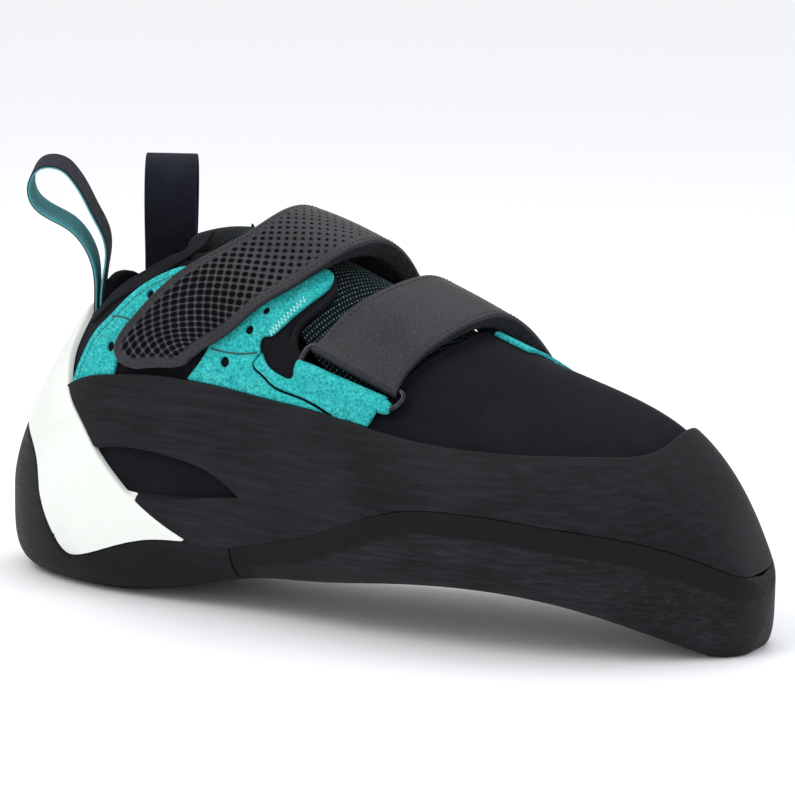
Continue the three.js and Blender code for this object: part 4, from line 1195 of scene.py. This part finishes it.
def ring_tab(name, node, curves, corners, is_medial):
    """A tab that rises to a ring's bar, with its roll round the bar."""
    flat_bar = UPPER_CHART.flat(station_of(corners[:2, 0]), np.radians(corners[:2, 1]))
    way = flat_bar[1] - flat_bar[0]
    length = np.linalg.norm(way)
    way = way / length

    def rise(station, turn):
        off = UPPER_CHART.flat(station, turn) - flat_bar[0]
        along = off @ way
        across = np.abs(off[:, 0] * way[1] - off[:, 1] * way[0])
        beyond = np.maximum(0, np.maximum(1.5 - along, along - length + 1.5))
        return (BAR_LIFT + ROLL - CLEARANCE - SUEDE) * np.exp(-(across / 3.6) ** 2 - (beyond / 2.6) ** 2)

    def high(station, turn):
        return on_upper(station, turn, CLEARANCE + SUEDE + rise(station, turn))

    def low(station, turn):
        return on_upper(station, turn, CLEARANCE + rise(station, turn) * 0.8)

    outline = suede_loop(curves, is_medial)
    tab = panel(name, [outline], UPPER_CHART, low, high, TEAL_SUEDE, SUEDE, 0.4, 1.1)
    ends = on_upper(station_of(corners[:2, 0]), np.radians(corners[:2, 1]), BAR_LIFT)
    reach = (ends[1] - ends[0]) / np.linalg.norm(ends[1] - ends[0])
    first = ends[0] + reach * WIRE * 1.6
    last = ends[1] - reach * WIRE * 1.6
    share = np.linspace(0, 1, 40)[:, None]
    path = first + (last - first) * share
    profile = np.sqrt(np.clip(1 - (np.abs(share[:, 0] * 2 - 1)) ** 10, 0.02, 1))
    roll = rod(name + "_roll", path, ROLL * (0.72 + 0.28 * profile), TEAL_SUEDE)
    stands_for(node)


def rod(name, path, radii, material, sides=20):
    """A straight rod with a radius at each of its points, and rounded ends."""
    way = path[-1] - path[0]
    way = way / np.linalg.norm(way)
    side = np.cross(way, [0.0, 0.0, 1.0])
    side /= np.linalg.norm(side)
    up = np.cross(side, way)
    turn = 2 * math.pi * np.arange(sides) / sides
    bends = np.radians([80, 60, 40, 20])
    rows = [(path[0] - way * radii[0] * 0.5 * math.sin(b), radii[0] * math.cos(b)) for b in bends]
    rows += list(zip(path, radii))
    rows += [(path[-1] + way * radii[-1] * 0.5 * math.sin(b), radii[-1] * math.cos(b))
             for b in bends[::-1]]
    points = np.concatenate([
        p + r * (np.cos(turn)[:, None] * side + np.sin(turn)[:, None] * up) for p, r in rows])
    return finish_mesh(name, points, ring_faces(len(rows), sides), material)


lateral_tab_curves = [
    [[99.3, 77.4], [100.8, 75.0], [103.0, 73.2], [107.0, 71.7], [109.4, 71.2], [110.8, 71.8],
     [111.0, 73.4], [112.2, 76.2]],
    [[112.2, 76.2], [126.0, 72.4], [140.8, 68.2]],
    [[140.8, 68.2], [140.6, 66.6], [139.0, 64.4], [136.9, 61.4], [136.3, 60.4]],
    along_rand(136.3, 128.4, -0.4),
    [[128.4, 61.2], [121.6, 64.3], [115.2, 66.4], [109.8, 67.5], [104.4, 69.0], [100.4, 71.6],
     [97.2, 74.4], [98.0, 75.6], [99.3, 77.4]],
]
ring_tab("tab_lateral", "ring_tab_lateral", lateral_tab_curves, LATERAL_RING, False)
medial_tab_curves = [
    [[97.2, 66.4], [97.6, 71.0], [99.0, 73.4], [103.0, 73.6]],
    [[103.0, 73.6], [116.0, 69.0], [129.4, 64.6]],
    [[129.4, 64.6], [130.6, 63.6], [131.0, 62.4]],
    along_rand(131.0, 97.2, -0.4),
]
ring_tab("tab_medial", "ring_tab_medial", medial_tab_curves, MEDIAL_RING, True)


# Rings

def ring(name, node, corners):
    spots = on_upper(station_of(corners[:, 0]), np.radians(corners[:, 1]), BAR_LIFT)
    path = []
    for i, spot in enumerate(spots):
        before = spots[(i + 3) % 4] - spot
        after = spots[(i + 1) % 4] - spot
        reach = min(np.linalg.norm(before), np.linalg.norm(after)) * 0.44
        start = spot + before / np.linalg.norm(before) * reach
        end = spot + after / np.linalg.norm(after) * reach
        share = np.linspace(0, 1, 12)[:, None]
        path.append(start * (1 - share) ** 2 + spot * 2 * share * (1 - share) + end * share ** 2)
    piece = tube(name, np.concatenate(path), WIRE, RING_WIRE, is_loop=True, sides=16)
    stands_for(node)


ring("wire_ring_lateral", "ring_lateral", LATERAL_RING)
ring("wire_ring_medial", "ring_medial", MEDIAL_RING)


# Straps

def strap_grid(table, step, wide):
    """Stations, turns and lifts of a strap, row by row along it and across from its rear edge."""
    middle_at = (table[:, 0] + table[:, 2]) / 2
    middle_turn = (table[:, 1] + table[:, 3]) / 2
    middle = on_upper(station_of(middle_at), np.radians(middle_turn), table[:, 4])
    along = lengths_along(middle)
    places = np.linspace(0, along[-1], int(along[-1] / step) + 1)
    rows = np.stack([natural_spline(along, table[:, i])(places) for i in range(5)], 1)
    share = np.linspace(0, 1, wide)[None, :]
    at = rows[:, 0:1] + (rows[:, 2:3] - rows[:, 0:1]) * share
    turn = np.radians(rows[:, 1:2] + (rows[:, 3:4] - rows[:, 1:2]) * share)
    lift = np.repeat(rows[:, 4:5], wide, 1)
    return station_of(at), turn, lift


def strap(name, node, table, material, is_bar_first, crown):
    """A strap's leather, rolled round the bar of its ring at one end."""
    station, turn, lift = strap_grid(table, 0.6, 61)
    share = np.linspace(-1, 1, station.shape[1])[None, :]
    hump = crown * (1 - share ** 2)
    top = on_upper(station, turn, lift + hump)
    normal = face_normal(station, turn)
    if is_bar_first:
        top = top[::-1]
        normal = normal[::-1]
    way = top[-1] - top[-2]
    way /= np.linalg.norm(way, axis=-1, keepdims=True)
    up = normal[-1]
    centre = top[-1] - up * ROLL
    around = []
    inner = []
    for angle in np.radians(np.arange(12, 215, 12)):
        reach = way * math.sin(angle) + up * math.cos(angle)
        around.append(centre + reach * ROLL)
        inner.append(reach)
    count = len(top)
    full = np.concatenate([top, np.array(around)])
    away = np.concatenate([normal, np.array(inner)])
    ends = [full[:count, 0], full[:count, -1]]
    if not is_bar_first:
        ends.append(full[0])
    border = np.concatenate([*ends, full[0]])
    near = distances(full.reshape(-1, 3), border).reshape(full.shape[:2])
    height = edge_height(near, 0.45, STRAP_LEATHER)
    height[count:] = 1
    surface = full - away * (STRAP_LEATHER * (1 - height))[..., None]
    under = full - away * STRAP_LEATHER
    along = lengths_along(full[:, full.shape[1] // 2])
    width = np.linalg.norm(full[:, -1] - full[:, 0], axis=1)
    across = (np.linspace(-0.5, 0.5, full.shape[1])[None, :] * width[:, None])
    uv = np.stack([np.repeat(along[:, None], full.shape[1], 1), across], -1)
    rim = ease((near - 2.6) / 0.9)
    if is_bar_first:
        uv[..., 0] = along[count - 1] - uv[..., 0]
    piece = sheet_solid(name, surface, under, material, uv, rim=rim)
    stands_for(node)
    return full[:count], away[:count], near[:count]


ankle_top, ankle_up, ankle_near = strap(
    "strap_ankle", "ankle_strap", ANKLE_STRAP, PITTED_STRAP, False, 0.25)
forefoot_top, forefoot_up, forefoot_near = strap(
    "strap_forefoot", "forefoot_strap", FOREFOOT_STRAP, GREY_STRAP, True, 0.45)


def pile(name, top, up, near, inset, depth, skip):
    """Fuzzy lining under a strap, from just under its leather to a depth for each row."""
    keep = slice(0, len(top) - skip if skip else None)
    surface = top[keep] - up[keep] * (STRAP_LEATHER + 0.02)
    share = np.sqrt(np.clip((near[keep] - inset + 0.6) / 1.2, 0.0, 1))
    drop = share * (depth[keep, None] if np.ndim(depth) else depth)
    under = surface - up[keep] * np.maximum(drop, 0.05)[..., None]
    sheet_solid(name, surface, under, PILE)


def lifts_along(table, count, is_reversed):
    """The lift of a strap's outer face, row by row."""
    lift = strap_grid(table, 0.6, 3)[2][:, 1]
    lift = lift[::-1] if is_reversed else lift
    return np.interp(np.linspace(0, 1, count), np.linspace(0, 1, len(lift)), lift)


pile("pile_ankle", ankle_top, ankle_up, ankle_near, 0.5,
     np.clip(lifts_along(ANKLE_STRAP, len(ankle_top), False) - 3.0, 0.95, 5.0), 4)
pile("pile_forefoot", forefoot_top, forefoot_up, forefoot_near, 0.4,
     np.clip(lifts_along(FOREFOOT_STRAP, len(forefoot_top), True) - 2.6, 1.2, 5.0), 4)


# Tongue, collar lining and insole

def locate_plan(line, face):
    """Stations and turns of the points of a face's top that lie at points in plan."""
    wanted = np.asarray(line, float)
    x = wanted[:, 0].copy()
    for _ in range(12):
        station = station_of(np.clip(x / LENGTH, 0.0005, 0.9995))
        low = np.full(len(x), 0.02)
        high = np.full(len(x), math.pi - 0.02)
        for _ in range(30):
            middle = (low + high) / 2
            is_low = face(station, middle)[:, 1] < wanted[:, 1]
            low = np.where(is_low, middle, low)
            high = np.where(is_low, high, middle)
        spot = face(station, low)
        x += (wanted[:, 0] - spot[:, 0]) * 0.8
    return np.stack([station, low], 1)


TONGUE_PLAN = [
    [0.262, -0.150], [0.290, -0.200], [0.420, -0.260], [0.560, -0.370], [0.640, -0.330],
    [0.690, 0.000], [0.690, 0.200], [0.640, 0.400], [0.560, 0.400], [0.420, 0.320],
    [0.290, 0.240], [0.262, 0.170], [0.262, -0.150],
]
INNER = -UPPER_WALL - CLEARANCE

tongue_line = smooth(np.array(TONGUE_PLAN) * [LENGTH, BALL], 1.2)[:-1]
tongue = panel("tongue_pad", [locate_plan(tongue_line, inner_face)], UPPER_CHART,
               layer(INNER - TONGUE_WALL), inner_face, TONGUE_MESH, TONGUE_WALL, 1.4, 1.6)
stands_for("tongue")

lining_front = station_of(TONGUE_PLAN[0][0] - 0.006)
lining_top = over_crest(lining_front, 0.08, COLLAR, inner_face, 1.0, LINING_RIM)
lining_low = over_crest(lining_front, 0.03, COLLAR, inner_face, 1.2, -LINING_DEPTH)
lining = panel("collar_pad", [np.concatenate([lining_top, lining_low[::-1]])], UPPER_CHART,
               layer(INNER - LINING_WALL), inner_face, LINING_MESH, LINING_WALL, 1.1, 1.6)
stands_for("collar_lining")


def make_insole():
    stations = np.linspace(0.06, 0.94, 90)
    under = SECTION_CURVES[5](stations)
    cant = SECTION_CURVES[6](stations)
    floor = FOOTING + under - INNER + INSOLE_WALL
    ends = []
    for is_medial in (False, True):
        low = np.full(len(stations), -QUARTER + 0.05)
        high = np.full(len(stations), QUARTER * 0.6)
        limit = floor + (0 if is_medial else 1) * cant
        for _ in range(30):
            middle = (low + high) / 2
            spot = inner_face(stations, math.pi - middle if is_medial else middle)
            is_low = spot[:, 2] < limit
            low = np.where(is_low, middle, low)
            high = np.where(is_low, high, middle)
        ends.append(math.pi - low if is_medial else low)
    start = ends[0]
    end = ends[1] - 2 * math.pi
    share = np.linspace(0, 1, 40)[None, :]
    grid = np.repeat(stations[:, None], 40, 1)
    turn = start[:, None] + (end - start)[:, None] * share
    bottom = inner_face(grid, turn)
    first = bottom[:, :1]
    last = bottom[:, -1:]
    top = first + (last - first) * share[..., None]
    top[..., 2] = np.maximum(top[..., 2], bottom[..., 2])
    uv = top[..., :2]
    return sheet_solid("insole_pad", top, bottom, FOOTBED, uv)


insole = make_insole()
stands_for("insole")


# Collar binding

upper_middle = layer(-UPPER_WALL / 2)
binding_face = layer(0.9)


def opening_edge():
    """The upper's edge round the collar and the throat, as one closed line of points."""
    collar_end = station_of(0.279)
    collar = over_crest(collar_end, 0.08, COLLAR, upper_middle, 1.0)
    throat_line = smooth(np.array(THROAT) * [LENGTH, BALL], 1.0)
    throat = locate_plan(throat_line, upper_middle)
    throat = resample(throat, upper_middle(throat[:, 0], throat[:, 1]), 1.0)
    points = np.concatenate([upper_middle(*collar.T), upper_middle(*throat.T)[::-1]])
    for _ in range(40):
        points = (np.roll(points, 1, axis=0) + points * 2 + np.roll(points, -1, axis=0)) / 4
    return points, upper_middle(*collar.T)


edge_points, collar_points = opening_edge()
edge_tube = tube("opening_binding", edge_points, 1.15, BINDING, is_loop=True, sides=14)

# The padded rise of the collar behind the heel, as heights along the collar's edge
RISE_AT = [-13.5, -11.5, -8.5, -4.0, 0.0, 5.0, 10.0, 14.0, 16.5]
RISE = [0.0, 4.5, 9.0, 10.6, 10.6, 9.6, 7.4, 4.5, 1.5]


def make_rise():
    near_heel = (collar_points[:, 0] < 46) & (collar_points[:, 1] > -13.4) & (collar_points[:, 1] < 16.4)
    path = collar_points[near_heel]
    if path[0, 1] > path[-1, 1]:
        path = path[::-1]
    heights = np.interp(path[:, 1], RISE_AT, RISE)
    way = np.gradient(path, axis=0)
    out = np.stack([-way[:, 1], way[:, 0], np.zeros(len(way))], 1)
    out /= np.linalg.norm(out, axis=1, keepdims=True)
    if out[len(out) // 2, 0] > 0:
        out = -out
    up = np.array([0.30, 0.0, 0.954])
    bends = np.radians(np.linspace(0, 180, 11))
    thick = 1.45
    profile = [(1.0, -1.0)] + [(math.cos(b), None) for b in bends] + [(-1.0, -1.0)]
    rows = []
    for side, level in profile:
        if level is None:
            lift = heights - thick + thick * math.sqrt(max(0.0, 1 - side * side))
            rows.append(path + out * side * thick + up * np.maximum(lift, -1.0)[:, None])
        else:
            rows.append(path + out * side * thick + up * level * 4.0)
    grid = np.stack(rows, 1)
    columns = grid.shape[1]
    faces = ring_faces(len(path), columns)
    piece = finish_mesh("collar_rise", grid.reshape(-1, 3), faces, BINDING)


make_rise()
for side, is_medial in (("lateral", False), ("medial", True)):
    stations = np.linspace(float(station_of(0.302)), float(station_of(0.142)), 70)
    upper_turn = crossing(stations, COLLAR, binding_face, is_medial, 0.2)
    lower_turn = crossing(stations, COLLAR, binding_face, is_medial, -3.4)
    loop = np.concatenate([np.stack([stations, upper_turn], 1),
                           np.stack([stations, lower_turn], 1)[::-1]])
    strip = panel("collar_binding_" + side, [loop], UPPER_CHART,
                  layer(0.05), binding_face, BINDING, 0.85, 0.4, 1.2)


# Pull loops

LEANING_LOOP = [
    [0.018, -0.080], [0.018, 0.000], [0.022, 0.120], [0.036, 0.250], [0.052, 0.400],
    [0.034, 0.500], [-0.035, 0.640], [-0.113, 0.790], [-0.170, 0.875], [-0.235, 0.940],
    [-0.315, 0.966], [-0.395, 0.950], [-0.447, 0.885], [-0.462, 0.800], [-0.440, 0.725],
    [-0.324, 0.627], [-0.195, 0.557], [-0.085, 0.432], [-0.033, 0.300], [-0.018, 0.150],
    [-0.018, 0.000], [-0.014, -0.080],
]
UPRIGHT_LOOP = [
    [-0.02, 0.00], [-0.06, 0.24], [-0.15, 0.50], [-0.19, 0.76], [-0.13, 0.94], [0.00, 1.01],
    [0.13, 0.94], [0.19, 0.76], [0.15, 0.50], [0.06, 0.24], [0.02, 0.00],
]


def pull_loop(name, node, outline, height, foot, heading, inside_finish, tilt):
    """A loop of tape from its side-view outline. tilt, in degrees, turns its far edge up."""
    line = smooth(np.array(outline) * height, 0.35)
    out = moved(line, TAPE_WALL / 2)
    into = moved(line, -TAPE_WALL / 2)
    share = np.array([0, 0.012, 0.03, 0.06, 0.1, 0.2, 0.35, 0.5, 0.65, 0.8, 0.9, 0.94, 0.97, 0.988, 1])
    across = (share - 0.5) * WEBBING
    edge = np.minimum(share, 1 - share) * WEBBING
    thick = edge_height(edge, TAPE_WALL * 0.45, TAPE_WALL / 2 * 1.05)
    way = math.radians(heading)
    right = np.array([math.cos(way), math.sin(way), 0.0])
    lean = math.radians(tilt)
    deep = np.array([math.sin(way) * math.cos(lean), -math.cos(way) * math.cos(lean), -math.sin(lean)])
    base = np.array(foot) * [LENGTH, BALL, INSTEP]
    grids = []
    for flat in (out, into):
        both = line[:, None, :] + (flat - line)[:, None, :] * thick[None, :, None]
        grids.append(base + both[..., 0:1] * right + both[..., 1:2] * [0, 0, 1.0]
                     + across[None, :, None] * deep)
    along = lengths_along(line)
    uv = np.stack(np.broadcast_arrays(along[:, None], across[None, :]), -1)
    if outline is LEANING_LOOP:
        grids.reverse()
    piece = sheet_solid(name, grids[1], grids[0], inside_finish, uv, inner=WEBBING_OUTSIDE)
    stands_for(node)


pull_loop("webbing_loop_lateral", "pull_loop_lateral", LEANING_LOOP, LATERAL_LOOP,
          [0.1336, -0.128, 0.7445], 28, WEBBING_INSIDE, 7)
pull_loop("webbing_loop_medial", "pull_loop_medial", UPRIGHT_LOOP, MEDIAL_LOOP,
          [0.1695, 0.187, 0.786], 118, WEBBING_OUTSIDE, 0)


# Stitches and seams

def stitch_tree():
    """Rows of short round stitches along lines, with their sizes as inputs."""
    tree = bpy.data.node_groups.new("stitch rows", "GeometryNodeTree")
    face = tree.interface
    face.new_socket("Lines", in_out="INPUT", socket_type="NodeSocketGeometry")
    for label in ("Pitch", "Length", "Width"):
        face.new_socket(label, in_out="INPUT", socket_type="NodeSocketFloat")
    face.new_socket("Finish", in_out="INPUT", socket_type="NodeSocketMaterial")
    face.new_socket("Stitches", in_out="OUTPUT", socket_type="NodeSocketGeometry")
    new = tree.nodes.new
    link = tree.links.new
    start = new("NodeGroupInput")
    end = new("NodeGroupOutput")
    curve = new("GeometryNodeMeshToCurve")
    spaced = new("GeometryNodeResampleCurve")
    spaced.mode = "LENGTH"
    points = new("GeometryNodeInstanceOnPoints")
    ball = new("GeometryNodeMeshIcoSphere")
    ball.inputs["Subdivisions"].default_value = 2
    ball.inputs["Radius"].default_value = 0.5
    size = new("ShaderNodeCombineXYZ")
    shape = new("GeometryNodeTransform")
    tangent = new("GeometryNodeInputTangent")
    align = new("FunctionNodeAlignRotationToVector")
    align.axis = "X"
    real = new("GeometryNodeRealizeInstances")
    finish = new("GeometryNodeSetMaterial")
    link(start.outputs["Lines"], curve.inputs["Mesh"])
    link(curve.outputs["Curve"], spaced.inputs["Curve"])
    link(start.outputs["Pitch"], spaced.inputs["Length"])
    link(spaced.outputs["Curve"], points.inputs["Points"])
    link(start.outputs["Length"], size.inputs[0])
    link(start.outputs["Width"], size.inputs[1])
    link(start.outputs["Width"], size.inputs[2])
    link(ball.outputs["Mesh"], shape.inputs["Geometry"])
    link(size.outputs[0], shape.inputs["Scale"])
    link(shape.outputs["Geometry"], points.inputs["Instance"])
    link(tangent.outputs["Tangent"], align.inputs["Vector"])
    link(align.outputs["Rotation"], points.inputs["Rotation"])
    link(points.outputs["Instances"], real.inputs["Geometry"])
    link(real.outputs["Geometry"], finish.inputs["Geometry"])
    link(start.outputs["Finish"], finish.inputs["Material"])
    link(finish.outputs["Geometry"], end.inputs["Stitches"])
    return tree


STITCH_TREE = stitch_tree()


def stitches(name, lines, pitch, length, width, material):
    """Stitches along lines of points in the last's frame."""
    points = []
    edges = []
    for line in lines:
        start = len(points)
        points += ((np.asarray(line) + SHIFT) * MM).tolist()
        edges += [(i, i + 1) for i in range(start, len(points) - 1)]
    mesh = bpy.data.meshes.new(name)
    mesh.from_pydata(points, edges, [])
    piece = bpy.data.objects.new(name, mesh)
    bpy.context.scene.collection.objects.link(piece)
    change = piece.modifiers.new("rows", "NODES")
    change.node_group = STITCH_TREE
    values = {"Pitch": pitch * MM, "Length": length * MM, "Width": width * MM, "Finish": material}
    for item in STITCH_TREE.interface.items_tree:
        if item.in_out == "INPUT" and item.name in values:
            change[item.identifier] = values[item.name]
    bpy.context.view_layer.update()
    graph = bpy.context.evaluated_depsgraph_get()
    result = bpy.data.meshes.new_from_object(piece.evaluated_get(graph))
    piece.modifiers.clear()
    piece.data = result
    result.polygons.foreach_set("use_smooth", [True] * len(result.polygons))
    return piece


def on_suede(line, is_medial=False, lift=0.0):
    """Points on the suede's face along a side-view line in millimetres."""
    flat = smooth(line, 0.5)
    spots = locate(flat, suede_face, is_medial)
    return on_upper(spots[:, 0], spots[:, 1], np.full(len(spots), CLEARANCE + SUEDE + lift))


rim_rear = moved(smooth(rear_edge, 0.5), -2.0)[4:-4:4]
seams = [on_suede([[45.4, 82.2], [49.0, 82.6], [52.8, 82.2]], lift=0.05),
         on_suede([[82.6, 77.0], [88.0, 76.4], [94.0, 76.6], [98.0, 77.3]], lift=0.05)]
for n, seam in enumerate(seams):
    cord = tube("seam_cord_%d" % n, seam, 0.28, DARK_THREAD_AND_GROOVE_SHADE, sides=8)
stitches("stitches_collar_rim", [on_suede(rim_rear)], 1.5, 1.1, 0.34, RIM_THREAD)
# Painted shade: a thin dark rod stands in for the shade in the stitch groove under the collar rim's
# stitches.
groove_shade = tube("groove_shade_collar_rim", on_suede(rim_rear, lift=-0.05), 0.2, DARK_THREAD_AND_GROOVE_SHADE, sides=8)
under_rim = moved(smooth(front_seam, 0.5), 1.2)[6:-4:4]
stitches("stitches_seam_rim", [on_suede(under_rim)], 1.3, 1.0, 0.3, RIM_THREAD)
TEETH = 23
zig_start = np.array([100.9, 82.7])
zig_way = np.array([7.0, 9.8])
zig_across = np.array([-0.8, 0.57])
teeth = [zig_start + zig_way * n / TEETH + zig_across * (0.8 if n % 2 else -0.7)
         for n in range(TEETH + 1)]
zig = [on_suede(np.array([a, (a + b) / 2, b]), lift=0.08) for a, b in zip(teeth[:-1], teeth[1:])]
stitches("stitches_zigzag", zig, 0.4, 0.5, 0.3, TEAL_THREAD)


def strap_line(top, up, inset, first, last, side):
    """A line on a strap a distance inside one of its edges."""
    width = np.linalg.norm(top[:, -1] - top[:, 0], axis=1)
    share = inset / width
    place = (share if side == 0 else 1 - share) * (top.shape[1] - 1)
    low = np.clip(place.astype(int), 0, top.shape[1] - 2)
    rest = (place - low)[:, None]
    rows = np.arange(len(top))
    line = top[rows, low] * (1 - rest) + top[rows, low + 1] * rest
    lift = up[rows, low]
    return (line + lift * 0.02)[int(first * len(top)):int(last * len(top))]


for name, top, up, inset, first, last in (
        ("stitches_forefoot", forefoot_top, forefoot_up, 1.7, 0.02, 0.96),
        ("stitches_ankle", ankle_top, ankle_up, 1.6, 0.05, 0.97)):
    lines = [strap_line(top, up, inset, first, last, side) for side in (1, 0)]
    stitches(name, lines, 1.7, 1.2, 0.36, BLACK_THREAD)

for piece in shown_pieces():
    if not piece.get("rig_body"):
        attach(piece, "root")


# Studio

def area_light(name, place, aim, size, power, colour):
    data = bpy.data.lights.new(name, "AREA")
    data.shape = "DISK"
    data.size = size
    data.energy = power
    data.color = colour
    light = bpy.data.objects.new(name, data)
    light.location = place
    light.rotation_euler = (Vector(aim) - Vector(place)).to_track_quat("-Z", "Y").to_euler()
    bpy.context.scene.collection.objects.link(light)


scene = bpy.context.scene
scene.view_settings.view_transform = "Standard"
world = bpy.data.worlds.new("studio")
world.use_nodes = True
world.node_tree.nodes["Background"].inputs["Color"].default_value = (1.0, 1.0, 1.0, 1.0)
world.node_tree.nodes["Background"].inputs["Strength"].default_value = 0.97
scene.world = world

floor_mesh = bpy.data.meshes.new("floor")
floor_mesh.from_pydata([(-3, -3, -0.0002), (3, -3, -0.0002), (3, 3, -0.0002), (-3, 3, -0.0002)], [],
                       [(0, 1, 2, 3)])
floor_finish = Finish("floor paint", (246, 247, 250), 0.6, Specular_IOR_Level=0.2)
floor_mesh.materials.append(floor_finish.material)
floor = bpy.data.objects.new("floor", floor_mesh)
scene.collection.objects.link(floor)

area_light("key", (-0.25, -0.55, 0.75), (0.0, 0.0, 0.05), 0.5, 2.4, (1.0, 0.99, 0.97))
area_light("fill", (0.7, -0.5, 0.35), (0.02, 0.0, 0.05), 0.6, 0.6, (0.93, 0.96, 1.0))
area_light("top", (0.05, 0.25, 0.95), (0.02, 0.0, 0.06), 0.7, 2.2, (0.97, 0.98, 1.0))

AZIMUTH = math.radians(28.0)
ELEVATION = math.radians(10.5)
ROLL_ANGLE = math.radians(1.2)
back = Vector((math.sin(AZIMUTH) * math.cos(ELEVATION), -math.cos(AZIMUTH) * math.cos(ELEVATION),
               math.sin(ELEVATION)))
right = Vector((math.cos(AZIMUTH), math.sin(AZIMUTH), 0.0))
above = back.cross(right)
rolled_right = right * math.cos(ROLL_ANGLE) + above * math.sin(ROLL_ANGLE)
rolled_above = above * math.cos(ROLL_ANGLE) - right * math.sin(ROLL_ANGLE)
target = Vector(((np.array([127.5, 0.0, 62.7]) + SHIFT) * MM).tolist())
camera_data = bpy.data.cameras.new("camera")
camera_data.lens = 156.0
camera_data.sensor_width = 36.0
camera = bpy.data.objects.new("camera", camera_data)
turned = Matrix((rolled_right, rolled_above, back)).transposed().to_4x4()
camera.matrix_world = Matrix.Translation(target + back * 1.0) @ turned
scene.collection.objects.link(camera)
scene.camera = camera
